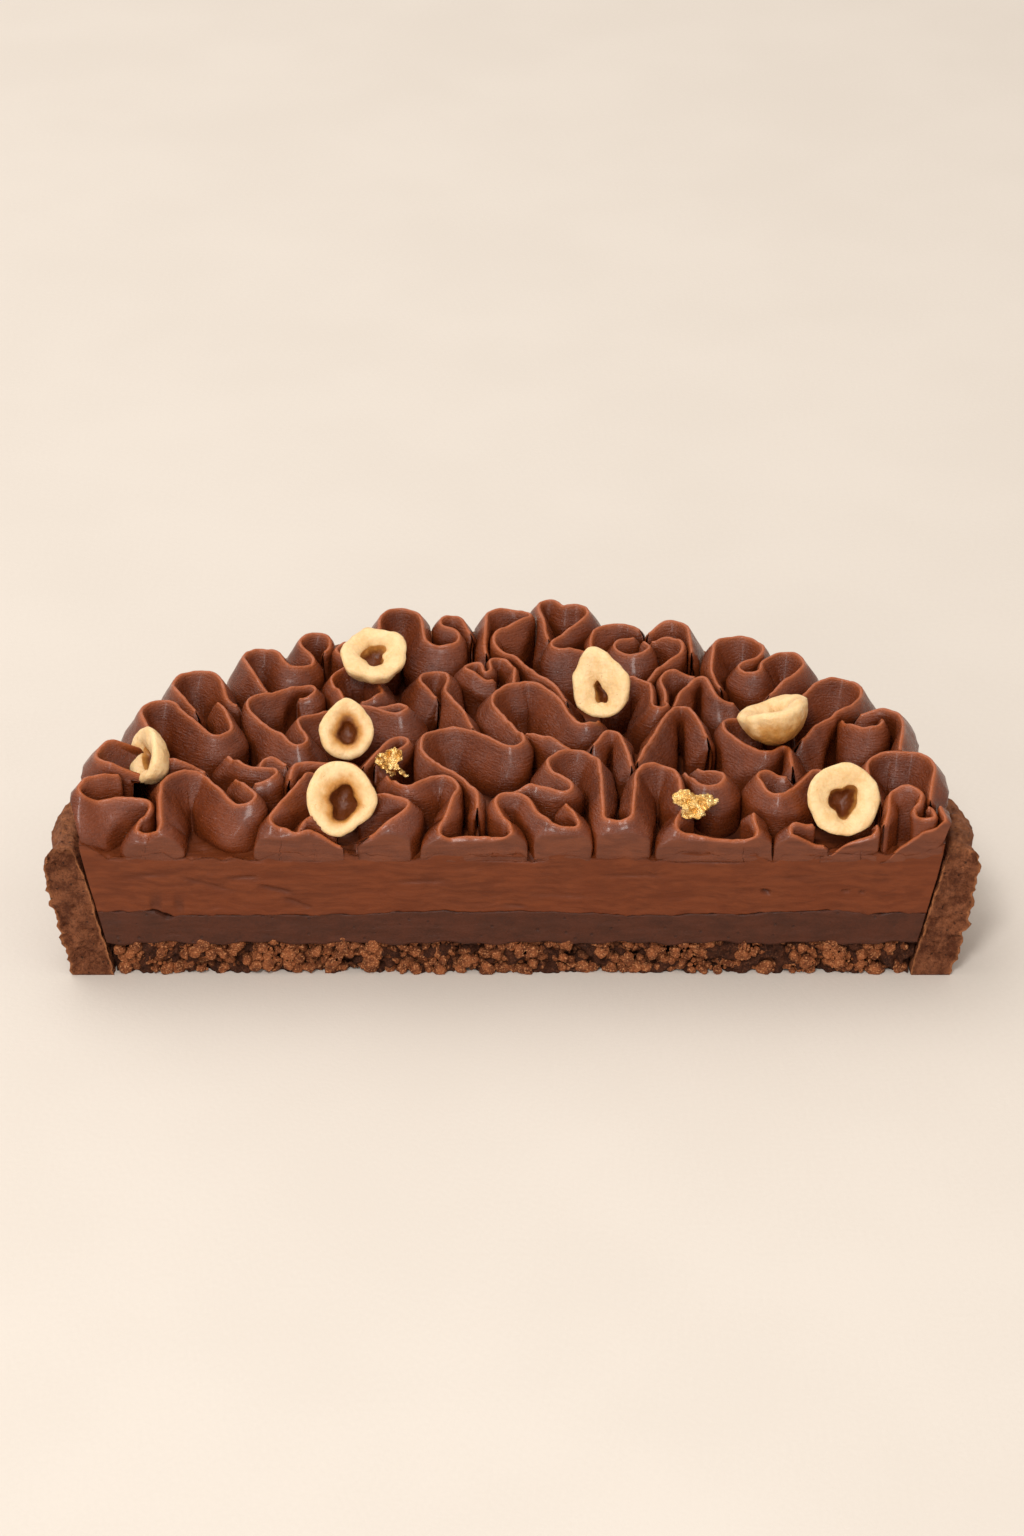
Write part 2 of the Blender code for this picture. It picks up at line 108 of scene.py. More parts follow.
PRESSED_BELOW = 4.5
HELD_AT = (28, 31, 34, 38, 42, 46)
HELD_RADIUS = (91.4, 91.6, 91.8, 93.0, 95.0, 98.0)
FOOT_SUNK = 0.9
MOST_ROUND_END = 3.0
END_TURNS = (78, 60, 40, 20)

# Each stroke of the piping bag: its start, the folds it runs round as (x, y, radius), and its end. A positive
# radius is rounded anticlockwise and a negative one clockwise.
STROKES = [
    [(-84, 17.5, 0), (-87.3, 9.3, 5.4), (-79.6, 3.6, -2.7), (-77.3, -6.8, 2.4), (-70, 12.3, -5),
        (-57, 6, 2.7),
     (-59.5, 16, 0)],
    [(-82, 30.5, 0), (-85.2, 24, 4.8), (-82, 18.5, 0)],
    [(-66, 17.5, 0), (-72.8, 24, -3), (-77, 41.8, -4.4), (-63.8, 35, 2.9), (-65, 48, 0)],
    [(-69.5, 44, 0), (-69.8, 54, -5.4), (-61.5, 49.5, 2), (-60.8, 46.8, 0)],
    [(-47.5, 50, 0), (-44.8, 52, 1.8), (-54.2, 45.4, 4.6), (-46.7, 29.6, 2.3), (-43.6, 37.6, -3.9),
     (-35, 41, -4), (-24.4, 43, 1.9), (-30, 45.6, 0)],
    [(-54, 51.5, 0), (-56, 65.5, -4.3), (-47.8, 65.6, 3.6), (-44.3, 73.3, -3.7), (-42.3, 70.5, 0)],
    [(-34.5, 75, 0), (-36.8, 69.5, 3.2), (-34, 63, 0)],
    [(-37.3, 47.8, 0), (-35.4, 57, -5), (-30.6, 50.4, -2.4), (-34, 48.6, 0)],
    [(-30.3, 76, 0), (-25.4, 82.8, -4.9), (-16, 75.4, 4.1), (-14, 82.2, -2.8), (-9.8, 78.5, 0)],
    [(-29.5, 22, 0), (-24.5, 29.3, 2), (-32, 21.5, 0)],
    [(-27, 17, 0), (-22.2, 12.2, 2.2), (-15.5, 10.6, -4.4), (-12.7, -7.6, 3.1), (-8, -12.4, -3.4),
     (-2.4, -8.2, 2.4), (-0.2, 4.2, -3.6), (11.4, -4, 2.9), (11.5, 6, 0)],
    [(-62, 24.5, 0), (-58.5, 19.3, 0), (-52.6, 15.6, -2.4), (-55.5, 12.8, 0)],
    [(-54.8, 20, 0), (-52.8, 21.7, -1.9), (-49, 20.5, 0)],
    [(-40, 18, 0), (-42, 15.8, 2), (-48.1, -3.1, 3.5), (-44, -11, -3.6), (-36.5, -12.5, 0)],
    [(-45.3, -6.5, 0), (-42.6, -4, -2.6), (-38, -3, 0)],
    [(-48, 15, 0), (-45, 17.3, -2.6), (-35.5, 18.2, -2.4), (-31.5, 14, 0)],
    [(-31, 10.5, 0), (-23.8, 3, -2.4), (-30.5, -9, 0)],
    [(-7.5, 3, 0), (-7.4, 7.5, 0), (-12.6, 28.3, -7.4), (0.4, 30, 2.7), (2.6, 47.2, -7.5), (16.3, 39.3, 2.6),
     (19, 41, 0)],
    [(3, 34.5, 0), (7, 31, 0), (12.5, 27.8, 0)],
    [(-1, 9, 0), (3.5, 6, -5), (11, 10, 2.2), (13.5, 19.8, -5.6), (22.6, -1, 3.4), (31.3, 14.2, -4.8),
     (37, 7, 0)],
    [(36.3, 4, 0), (38.3, -5, 3.5), (47.8, -8.2, 4.4), (51.5, 1, 0)],
    [(-16.5, 50.3, 0), (-17.4, 56.6, -3.7), (-12.3, 51, 2.6), (-8.5, 37, 0)],
    [(-4, 58.3, 0), (-8.2, 61.7, -2.6), (-5.5, 59.2, 0.6), (-2.4, 63, -3.2), (0.8, 55, 0)],
    [(-5.5, 70, 0), (-1.4, 84, -4.6), (3.8, 86, -1), (0.7, 73.6, 5.2), (12.3, 48.5, 0)],
    [(8.5, 77, 0), (8.4, 89.9, -2.7), (12.2, 90.5, 1), (14.6, 87, -3.2), (11, 72.3, 2.4), (18, 71, 0)],
    [(18, 71, 0), (24.6, 75.4, -6.7), (29.3, 80.2, 0)],
    [(27.8, 76.8, 0), (27.2, 71, 4.3), (29.8, 74.6, 0)],
    [(31.4, 75.8, 0), (33.8, 70.8, -5.2), (29.5, 55.5, 0)],
    [(30.8, 78.8, 0), (35.6, 78, -4.6), (40.7, 70, 0)],
    [(46.6, 54, 0), (44.4, 60, 0), (51, 70.3, -5.8), (53.2, 61.6, 2.8), (60.6, 63.4, -4.8), (57, 50, 0)],
    [(22, 57, 0), (26.3, 52.7, -4.9), (32.8, 45.2, 2.1), (37.8, 55.8, -4.5), (41.3, 59.5, 0)],
    [(35, 47, 0), (42.6, 57, -0.7), (46.3, 49.6, 1), (49.3, 48.8, 0)],
    [(27.5, 22.5, 0), (37.2, 42.5, -2), (42.5, 33, 0)],
    [(18, 29.5, 0), (21.9, 31.2, -2.3), (26, 20, 0)],
    [(53, 40, 0), (49.8, 36, 3.6), (55.2, 26.6, 2.4), (58.8, 26.5, -1.2), (60.5, 20.5, 0)],
    [(59.5, 16.5, 0), (55.3, 15, 2.6), (57.2, 8.6, 2.4), (66.3, 15.8, -2.3), (71, 15, 0)],
    [(64, -3, 0), (62.3, -8.3, 3.4), (67, -12, 0)],
    [(67.5, -15, 0), (73.6, -6.5, 3.7), (77.2, -4, 0)],
    [(79.4, -3, 0), (84, 7.2, -3.5), (87.9, -0.8, 2.1), (88.8, 4, 0)],
    [(91.5, 4, 0), (87.5, -3, -4.6), (79, -19, 0)],
    [(78.3, 9, 0), (83.5, 18.6, -7.2), (89, 7.5, 0)],
    [(63, 31, 0), (71.2, 50.8, 6.1), (64, 50.5, 0)],
    [(72, 41.5, 0), (77, 37.8, 3.8), (81, 41, 0)],
    [(76.3, 43, 0), (80.3, 38.5, -5), (83.8, 26, 0)],
    [(37, 17.5, 0), (42.3, 14.3, 3.7), (40, 20, 0)],
]

# Hazelnut halves: middle of the cut face, the way that face looks, half width, half length, depth of the
# round back, how far one end is drawn to a point, and the turn of that end.
HAZELNUTS = [
    ((-31.0, 59.5, 46.6), (0.0, -0.25, 1.0), 8.3, 7.4, 5.2, 0.0, 90),
    ((-35.8, 28.4, 44.6), (0.05, -0.75, 0.75), 5.8, 6.7, 5.0, 0.12, 5),
    ((-36.5, 6.6, 41.0), (0.05, -0.8, 0.62), 7.3, 7.9, 5.4, 0.06, 0),
    ((-79.5, 19.2, 44.0), (-0.82, -0.25, 0.5), 5.6, 7.9, 5.6, 0.05, 10),
    ((19.6, 46.6, 45.6), (-0.3, -0.7, 0.65), 6.6, 8.4, 5.8, 0.3, 0),
    ((57.0, 33.2, 47.6), (-0.25, 0.3, 0.92), 8.7, 7.6, 8.0, 0.05, 70),
    ((70.6, 6.2, 41.0), (0.05, -0.8, 0.62), 7.7, 7.9, 5.4, 0.0, 0),
]
# The hollow of each half: its half width and half length as shares of the nut's, its depth as a share of the
# back's, its number of corners, how sharp they are and their turn; then how lobed the outline is, the number
# of lobes and their turn, how far the hollow sits off the middle, and how toasted its rim and the back are.
HOLLOWS = [
    (0.42, 0.36, 0.85, 3, 0.20, 200, 0.055, 4, 25, (0.05, -0.02), 0.25, 0.1),
    (0.30, 0.34, 0.50, 4, 0.06, 0, 0.03, 3, 80, (0.0, 0.0), 1.7, 0.25),
    (0.36, 0.50, 0.85, 4, 0.10, 75, 0.03, 3, 10, (0.08, -0.08), 1.35, 0.1),
    (0.34, 0.62, 0.70, 3, 0.10, 60, 0.03, 3, 40, (-0.10, 0.0), 0.25, 0.2),
    (0.20, 0.32, 0.60, 3, 0.20, 90, 0.03, 3, 50, (-0.12, -0.12), 0.2, 0.3),
    (0.44, 0.34, 0.75, 4, 0.12, 20, 0.04, 3, 0, (0.0, 0.06), 0.3, 0.62),
    (0.42, 0.42, 0.95, 3, 0.18, 50, 0.02, 5, 15, (0.04, -0.02), 0.3, 0.1),
]


# ---------------------------------------------------------------- shape tools


def ease(value):
    """Smooth step from 0 to 1."""
    value = np.clip(value, 0, 1)
    return value * value * (3 - 2 * value)


def lattice(points, seed):
    """Smooth random values from -1 to 1 at points, one lump for each whole step."""
    cell = np.floor(points).astype(np.int64)
    part = points - cell
    part = part * part * (3 - 2 * part)
    total = np.zeros(len(points))
    for corner in range(8):
        step = np.array([corner & 1, corner >> 1 & 1, corner >> 2 & 1])
        x, y, z = (cell + step).T
        mixed = (x * 73856093) ^ (y * 19349663) ^ (z * 83492791) ^ (seed * 2654435761)
        mixed = ((mixed ^ (mixed >> 13)) * 1274126177) & 0xFFFFFFFF
        mixed = ((mixed ^ (mixed >> 15)) * 2246822519) & 0xFFFFFFFF
        value = (mixed ^ (mixed >> 16)) / 0x7FFFFFFF - 1
        total += value * np.where(step, part, 1 - part).prod(axis=1)
    return total


def rumple(points, size, seed, layers=2):
    """Relief from about -1 to 1: lumps of a size (one number, or one for each axis), with finer layers on."""
    points = np.atleast_2d(points) / np.asarray(size, float)
    total = sum(lattice(points * 2.03**layer + 9.7 * layer, seed + layer)
        * 0.55**layer for layer in range(layers))
    return total * 1.25


def shaken(points, size, height, seed, layers=2):
    """The points moved by a random field, each axis on its own."""
    return points + height * np.column_stack([rumple(points, size, seed + 11 * axis,
        layers) for axis in range(3)])


def grid_faces(rows, columns, closed=False, start=0):
    """Quads of a grid of points held row by row; closed joins the last column to the first."""
    row, column = np.meshgrid(np.arange(rows - 1), np.arange(columns if closed else columns - 1),
        indexing="ij")
    here = (row * columns + column).ravel()
    beside = (row * columns + (column + 1) % columns).ravel()
    return np.column_stack([here, beside, beside + columns, here + columns]) + start


def add_object(name, data):
    made = bpy.data.objects.new(name, data)
    bpy.context.scene.collection.objects.link(made)
    return made


def points_of(mesh):
    points = np.empty(len(mesh.vertices) * 3, np.float32)
    mesh.vertices.foreach_get("co", points)
    return points.reshape(-1, 3)


def realised(thing):
    """A thing's mesh with its modifiers applied."""
    graph = bpy.context.evaluated_depsgraph_get()
    return bpy.data.meshes.new_from_object(thing.evaluated_get(graph), depsgraph=graph)


def make_piece(name, points, faces, material, caps=(), weld=0.0, values=None, uv=None, normals=False):
    """A smooth-shaded mesh from points in millimetres measured from the cut."""
    mesh = bpy.data.meshes.new(name)
    placed = (np.asarray(points, float) + (0, CUT, 0)) * MM
    mesh.from_pydata(placed, [], [tuple(face) for face in faces] + [tuple(cap) for cap in caps])
    for key, value in (values or {}).items():
        mesh.attributes.new(key, "FLOAT", "POINT").data.foreach_set("value", np.asarray(value, np.float32))
    if uv is not None:
        layer = mesh.uv_layers.new(name="along")
        corners = np.empty(len(mesh.loops), np.int32)
        mesh.loops.foreach_get("vertex_index", corners)
        layer.data.foreach_set("uv", np.asarray(uv, np.float32)[corners].ravel())
    if weld or normals:
        form = bmesh.new()
        form.from_mesh(mesh)
        bmesh.ops.remove_doubles(form, verts=form.verts, dist=weld * MM)
        bmesh.ops.recalc_face_normals(form, faces=form.faces)
        form.to_mesh(mesh)
        form.free()
    mesh.shade_smooth()
    mesh.materials.append(material)
    return add_object(name, mesh)


def finish_piece(piece, slot, *nodes):
    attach(piece, "root")
    if nodes:
        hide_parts(*nodes)
    return piece


def block(counts, place):
    """The six faces of a block. place turns shares (u, v, w) from 0 to 1 into points, and each count is the
    number of steps along one of them, or the shares themselves."""
    points, faces, start = [], [], 0
    axes = [np.linspace(0, 1, count + 1) if isinstance(count, int) else np.asarray(count) for count in counts]
    for fixed in range(3):
        first, second = [axis for axis in range(3) if axis != fixed]
        for side in (0.0, 1.0):
            a, b = np.meshgrid(axes[first], axes[second], indexing="ij")
            share = np.zeros((a.size, 3))
            share[:, first], share[:, second], share[:, fixed] = a.ravel(), b.ravel(), side
            points.append(share)
            faces.append(grid_faces(len(axes[first]), len(axes[second]), start=start))
            start += a.size
    return place(np.concatenate(points)), np.concatenate(faces)


# ---------------------------------------------------------------- materials


def node(tree, kind, inputs=None, **settings):
    made = tree.nodes.new(kind)
    for key, value in settings.items():
        setattr(made, key, value)
    for key, value in (inputs or {}).items():
        if isinstance(value, bpy.types.NodeSocket):
            tree.links.new(value, made.inputs[key])
        else:
            made.inputs[key].default_value = value
    return made


def maths(tree, operation, first, second):
    return node(tree, "ShaderNodeMath", {0: first, 1: second}, operation=operation).outputs[0]


def times(tree, first, second):
    return maths(tree, "MULTIPLY", first, second)


def blend(tree, share, first, second):
    """Two colours mixed by a share; a colour may be a tuple or a socket."""
    first = (*first, 1) if isinstance(first, tuple) else first
    second = (*second, 1) if isinstance(second, tuple) else second
    return node(tree, "ShaderNodeMix", {0: share, 6: first, 7: second}, data_type="RGBA").outputs[2]


def spread_between(tree, value, low, high, low_to=0.0, high_to=1.0):
    inputs = {"Value": value, "From Min": low, "From Max": high, "To Min": low_to, "To Max": high_to}
    return node(tree, "ShaderNodeMapRange", inputs, clamp=True, interpolation_type="SMOOTHSTEP").outputs[0]


def noise(tree, vector, scale, detail=3.0, roughness=0.55, distortion=0.0):
    inputs = {"Vector": vector, "Scale": scale, "Detail": detail, "Roughness": roughness,
        "Distortion": distortion}
    return node(tree, "ShaderNodeTexNoise", inputs).outputs["Fac"]


def spots(tree, scale, detail=3.0, roughness=0.55):
    """Noise over the object, with its scale in spots for each millimetre."""
    return noise(tree, in_millimetres(tree), scale, detail, roughness)


def in_millimetres(tree, stretch=(1.0, 1.0, 1.0), turn=(0.0, 0.0, 0.0)):
    """Object coordinates in millimetres, stretched for streaks."""
    place = node(tree, "ShaderNodeTexCoord").outputs["Object"]
    scale = tuple(share / MM for share in stretch)
    return node(tree, "ShaderNodeMapping", {"Vector": place, "Rotation": turn, "Scale": scale}).outputs[0]


def effect_group(name, numbers, outputs):
    """An empty node group with number inputs and value outputs, and its input and output nodes."""
    group = bpy.data.node_groups.new(name, "ShaderNodeTree")
    for key, value in numbers.items():
        socket = group.interface.new_socket(key, in_out="INPUT", socket_type="NodeSocketFloat")
        socket.default_value = value
    for key in outputs:
        group.interface.new_socket(key, in_out="OUTPUT", socket_type="NodeSocketFloat")
    return group, group.nodes.new("NodeGroupInput"), group.nodes.new("NodeGroupOutput")


def mottle_group():
    """Patches of two sizes, for colour that is never even."""
    group, given, out = effect_group("mottle", {"Patch": 6.0, "Speck": 0.8}, ["Mask"])
    place = in_millimetres(group)
    patch = noise(group, place, maths(group, "DIVIDE", 1.0, given.outputs["Patch"]), 2.0)
    speck = noise(group, place, maths(group, "DIVIDE", 1.0, given.outputs["Speck"]), 4.0, 0.6)
    both = maths(group, "ADD", times(group, patch, 0.62), times(group, speck, 0.38))
    group.links.new(spread_between(group, both, 0.36, 0.64), out.inputs["Mask"])
    return group


def smear_group():
    """Long streaks that a knife leaves across a soft cut face."""
    group, given, out = effect_group("knife_smear", {"Fineness": 1.0}, ["Mask", "Height"])
    long_way = in_millimetres(group, (0.10, 0.6, 0.62), (0.0, 0.06, 0.0))
    bent = node(group, "ShaderNodeTexNoise", {"Vector": in_millimetres(group), "Scale": 0.09, "Detail": 2.0})
    shift = node(group, "ShaderNodeVectorMath", {0: bent.outputs["Color"], 1: (2.2, 2.2, 2.2)},
        operation="MULTIPLY")
    moved = node(group, "ShaderNodeVectorMath", {0: long_way, 1: shift.outputs[0]},
        operation="ADD").outputs[0]
    streak = noise(group, moved, given.outputs["Fineness"], 5.0, 0.62)
    fine = noise(group, moved, times(group, given.outputs["Fineness"], 3.2), 4.0, 0.7)
    group.links.new(spread_between(group, streak, 0.34, 0.68), out.inputs["Mask"])
    height = maths(group, "ADD", streak, times(group, fine, 0.35))
    group.links.new(height, out.inputs["Height"])
    return group


def grain_group():
    """Fine even roughness of a set surface, with a few tiny pits."""
    group, given, out = effect_group("fine_grain", {"Size": 0.45, "Pits": 0.5}, ["Height", "Pit"])
    place = in_millimetres(group)
    fine = noise(group, place, maths(group, "DIVIDE", 1.0, given.outputs["Size"]), 4.0, 0.6)
    inputs = {"Vector": place, "Scale": maths(group, "DIVIDE", 0.28, given.outputs["Size"])}
    cells = node(group, "ShaderNodeTexVoronoi", inputs)
    pit = spread_between(group, cells.outputs["Distance"], 0.10, 0.24, 1.0, 0.0)
    some = spread_between(group,
        node(group, "ShaderNodeSeparateColor", {0: cells.outputs["Color"]}).outputs[0], 0.55, 0.7)
    pit = times(group, times(group, pit, some), given.outputs["Pits"])
    group.links.new(maths(group, "SUBTRACT", fine, pit), out.inputs["Height"])
    group.links.new(pit, out.inputs["Pit"])
    return group


def use(tree, group, **numbers):
    made = node(tree, "ShaderNodeGroup", node_tree=group)
    for key, value in numbers.items():
        made.inputs[key].default_value = value
    return made.outputs


def bump(tree, height, distance, strength=1.0, under=None):
    inputs = {"Height": height, "Distance": distance * MM, "Strength": strength}
    if under is not None:
        inputs["Normal"] = under
    return node(tree, "ShaderNodeBump", inputs).outputs[0]


def set_constants(shader, values):
    for name, value in values.items():
        shader.inputs[name].default_value = value


def new_material(name, roughness, gloss=0.5):
    material = bpy.data.materials.new(name)
    material.use_nodes = True
    tree = material.node_tree
    shader = tree.nodes["Principled BSDF"]
    set_constants(shader, {"Roughness": roughness, "Specular IOR Level": gloss})
    return material, tree, shader


def finish_material(material, colour, roughness, normal):
    tree = material.node_tree
    for name, socket in {"Base Color": colour, "Roughness": roughness, "Normal": normal}.items():
        tree.links.new(socket, tree.nodes["Principled BSDF"].inputs[name])
    return material


def value_of(tree, name):
    return node(tree, "ShaderNodeAttribute", attribute_name=name).outputs["Fac"]


CREAM_DEEP = (0.110, 0.020, 0.004)
CREAM_MID = (0.172, 0.034, 0.007)
CREAM_PALE = (0.220, 0.053, 0.015)
CREAM_PAINTED_LIP_HIGHLIGHT = (0.44, 0.110, 0.030)
CREAM_CUT_DEEP = (0.118, 0.025, 0.006)
CREAM_CUT_PALE = (0.172, 0.040, 0.011)


def piped_cream_material():
    """Milk chocolate cream off the piping bag: satin and finely wrinkled, with a painted highlight along its
    thin lips, paler and more orange where the thin edges catch light and let it through.
    """
    material, tree, shader = new_material("piped_milk_cream", 0.4, 0.36)
    mask = use(tree, MOTTLE, Patch=7.0, Speck=0.9)["Mask"]
    colour = blend(tree, mask, CREAM_DEEP, CREAM_MID)
    smear = use(tree, SMEAR, Fineness=1.0)
    drawn = blend(tree, smear["Mask"], CREAM_CUT_DEEP, CREAM_CUT_PALE)
    colour = blend(tree, value_of(tree, "cut"), colour, drawn)
    # The lips are painted lighter and more orange: painted highlight and glow of the thin edges.
    lip = value_of(tree, "lip")
    colour = blend(tree, times(tree, lip, 0.75), colour, CREAM_PAINTED_LIP_HIGHLIGHT)
    flow = node(tree, "ShaderNodeUVMap", uv_map="along").outputs[0]
    wrinkles = node(tree, "ShaderNodeMapping", {"Vector": flow, "Scale": (0.55, 2.6, 1.0)}).outputs[0]
    ripple = noise(tree, wrinkles, 1.0, 4.0, 0.6, 0.3)
    grain = use(tree, GRAIN, Size=0.42, Pits=0.25)
    uncut = maths(tree, "SUBTRACT", 1.0, value_of(tree, "cut"))
    normal = bump(tree, times(tree, ripple, uncut), 0.28, 0.9)
    normal = bump(tree, grain["Height"], 0.15, 0.9, normal)
    stipple = spots(tree, 2.2, 2.0)
    normal = bump(tree, times(tree, stipple, uncut), 0.10, 0.8, normal)
    normal = bump(tree, times(tree, smear["Height"], value_of(tree, "cut")), 0.30, 0.8, normal)
    pale = times(tree, spread_between(tree, ripple, 0.5, 0.75), 0.25)
    colour = blend(tree, times(tree, pale, uncut), colour, CREAM_PALE)
    satin = spread_between(tree, spots(tree, 0.8, 3.0), 0.3, 0.7, 0.24, 0.38)
    rough = maths(tree, "ADD", satin, times(tree, value_of(tree, "cut"), 0.15))
    set_constants(shader, {"Coat Weight": 0.14, "Coat Roughness": 0.16})
    return finish_material(material, colour, rough, normal)


def cut_cream_material():
    """The same cream where the knife has drawn it smooth and streaky."""
    material, tree, shader = new_material("cut_milk_cream", 0.45, 0.22)
    smear = use(tree, SMEAR, Fineness=1.0)
    patches = use(tree, MOTTLE, Patch=9.0, Speck=1.4)["Mask"]
    colour = blend(tree, smear["Mask"], CREAM_CUT_DEEP, CREAM_CUT_PALE)
    colour = blend(tree, times(tree, patches, 0.3), colour, CREAM_MID)
    # The gouges, slits and pinholes are painted darker by their depth: painted shade in the recesses.
    painted_hollow_shade = value_of(tree, "hollow")
    colour = blend(tree, painted_hollow_shade, colour, (0.07, 0.018, 0.008))
    grain = use(tree, GRAIN, Size=0.5, Pits=0.35)
    normal = bump(tree, smear["Height"], 0.30, 0.8)
    normal = bump(tree, grain["Height"], 0.07, 0.7, normal)
    rough = spread_between(tree, smear["Height"], 0.4, 0.9, 0.5, 0.36)
    return finish_material(material, colour, rough, normal)


def ganache_material():
    """Dark ganache, dense and nearly matt, with specks where it was cut."""
    material, tree, shader = new_material("dark_ganache_cut", 0.5, 0.3)
    smear = use(tree, SMEAR, Fineness=1.3)
    patches = use(tree, MOTTLE, Patch=5.0, Speck=0.5)["Mask"]
    colour = blend(tree, patches, (0.050, 0.011, 0.003), (0.078, 0.018, 0.006))
    colour = blend(tree, times(tree, smear["Mask"], 0.3), colour, (0.090, 0.022, 0.007))
    grain = use(tree, GRAIN, Size=0.55, Pits=0.9)
    # The tiny pits are painted darker: painted shade in the pits.
    colour = blend(tree, times(tree, grain["Pit"], 0.6), colour, (0.03, 0.009, 0.005))
    normal = bump(tree, smear["Height"], 0.22, 0.7)
    normal = bump(tree, grain["Height"], 0.16, 0.9, normal)
    rough = spread_between(tree, patches, 0.0, 1.0, 0.42, 0.6)
    return finish_material(material, colour, rough, normal)


def crumb_material(name, dark, mid, pale):
    """Baked biscuit crumb: dry, mealy and uneven in colour from grain to grain."""
    material, tree, shader = new_material(name, 0.75, 0.2)
    patches = use(tree, MOTTLE, Patch=1.7, Speck=0.35)["Mask"]
    colour = blend(tree, patches, dark, mid)
    speck = spots(tree, 2.3, 3.0, 0.6)
    colour = blend(tree, spread_between(tree, speck, 0.52, 0.68), colour, pale)
    place = node(tree, "ShaderNodeSeparateXYZ", {0: in_millimetres(tree)}).outputs[1]
    # Crumb further behind the cut is painted darker: painted shade in the gaps between the crumbs.
    painted_depth_shade = spread_between(tree, place, CUT + 0.9, CUT + 2.6, 0.0, 0.8)
    colour = blend(tree, painted_depth_shade, colour, (0.035, 0.009, 0.003))
    grain = use(tree, GRAIN, Size=0.3, Pits=0.8)
    coarse = spots(tree, 1.6, 5.0, 0.65)
    normal = bump(tree, coarse, 0.7, 0.9)
    normal = bump(tree, grain["Height"], 0.22, 0.9, normal)
    rough = spread_between(tree, speck, 0.3, 0.7, 0.85, 0.5)
    return finish_material(material, colour, rough, normal)


def crust_material():
    """Cocoa shortcrust: dark and porous, paler and redder along the edges of its cut ends and towards the top
    of the wall.
    """
    material, tree, shader = new_material("baked_cocoa_crust", 0.7, 0.2)
    patches = use(tree, MOTTLE, Patch=3.2, Speck=0.55)["Mask"]
    colour = blend(tree, patches, (0.125, 0.033, 0.011), (0.340, 0.115, 0.048))
    edge = value_of(tree, "edge")
    ragged = maths(tree, "ADD", edge, times(tree, spots(tree, 0.9, 4.0), 0.7))
    colour = blend(tree, spread_between(tree, ragged, 0.65, 1.35, 0.0, 0.85), colour, (0.58, 0.215, 0.082))
    grain = use(tree, GRAIN, Size=0.4, Pits=1.0)
    coarse = spots(tree, 1.1, 6.0, 0.68)
    # The pores are painted darker: painted shade in the pits.
    colour = blend(tree, times(tree, grain["Pit"], 0.7), colour, (0.022, 0.007, 0.004))
    sparkle = spread_between(tree, spots(tree, 3.1, 2.0), 0.66, 0.74)
    colour = blend(tree, times(tree, sparkle, 0.5), colour, (0.56, 0.27, 0.13))
    normal = bump(tree, coarse, 1.3, 1.0)
    normal = bump(tree, grain["Height"], 0.45, 1.0, normal)
    rough = spread_between(tree, coarse, 0.3, 0.7, 0.8, 0.5)
    return finish_material(material, colour, rough, normal)


def hazelnut_material():
    """A toasted hazelnut half: ivory flesh, tan to brown where it touched the pan, and tan to brown in the
    hollow, darkening with depth, which is partly toast and partly painted shade.
    """
    material, tree, shader = new_material("toasted_hazelnut", 0.45)
    patches = use(tree, MOTTLE, Patch=3.0, Speck=0.5)["Mask"]
    colour = blend(tree, patches, (0.79, 0.51, 0.23), (0.87, 0.62, 0.33))
    roast_and_shade = maths(tree, "ADD", value_of(tree, "roast_and_shade"), times(
        tree, maths(tree, "SUBTRACT", spots(tree, 0.5, 4.0, 0.6), 0.5), 0.5))
    colour = blend(tree, spread_between(tree, roast_and_shade, 0.12, 0.55), colour, (0.60, 0.27, 0.060))
    colour = blend(tree, spread_between(tree, roast_and_shade, 0.45, 0.85), colour, (0.150, 0.034, 0.004))
    speck = spread_between(tree, spots(tree, 1.3, 2.0), 0.69, 0.75)
    colour = blend(tree, times(tree, speck, 0.5), colour, (0.45, 0.22, 0.07))
    grain = use(tree, GRAIN, Size=0.5, Pits=0.3)
    soft = spots(tree, 0.7, 4.0, 0.55)
    normal = bump(tree, soft, 0.5, 0.7)
    normal = bump(tree, grain["Height"], 0.08, 0.6, normal)
    rough = spread_between(tree, patches, 0.0, 1.0, 0.36, 0.52)
    under_skin = {"Subsurface Weight": 0.12, "Subsurface Radius": (1.0, 0.6, 0.3),
        "Subsurface Scale": 1.2 * MM}
    set_constants(shader, under_skin)
    return finish_material(material, colour, rough, normal)


def gold_material():
    """Edible gold leaf, crumpled bright metal."""
    material, tree, shader = new_material("gold_leaf_foil", 0.3)
    set_constants(shader, {"Metallic": 1.0})
    patches = use(tree, MOTTLE, Patch=1.2, Speck=0.3)["Mask"]
    colour = blend(tree, patches, (0.74, 0.43, 0.12), (0.97, 0.72, 0.34))
    grain = use(tree, GRAIN, Size=0.35, Pits=0.2)
    normal = bump(tree, grain["Height"], 0.35, 0.9)
    rough = spread_between(tree, patches, 0.0, 1.0, 0.34, 0.22)
    return finish_material(material, colour, rough, normal)


def floor_material():
    """Matt off-white board with a faint tooth."""
    material, tree, shader = new_material("pale_board", 0.8)
    patches = use(tree, MOTTLE, Patch=60.0, Speck=1.1)["Mask"]
    colour = blend(tree, patches, (0.665, 0.605, 0.545), (0.685, 0.625, 0.565))
    tooth = spots(tree, 0.9, 4.0, 0.6)
    normal = bump(tree, tooth, 0.10, 0.5)
    rough = spread_between(tree, tooth, 0.3, 0.7, 0.75, 0.9)
    return finish_material(material, colour, rough, normal)


MOTTLE = mottle_group()
SMEAR = smear_group()
GRAIN = grain_group()


# ---------------------------------------------------------------- crust and fillings


def wall_inside(height):
    """Radius of the crust's inner face at a height."""
    return WALL_INSIDE_FOOT + (WALL_INSIDE_RIM - WALL_INSIDE_FOOT) * height / RIM_HEIGHT


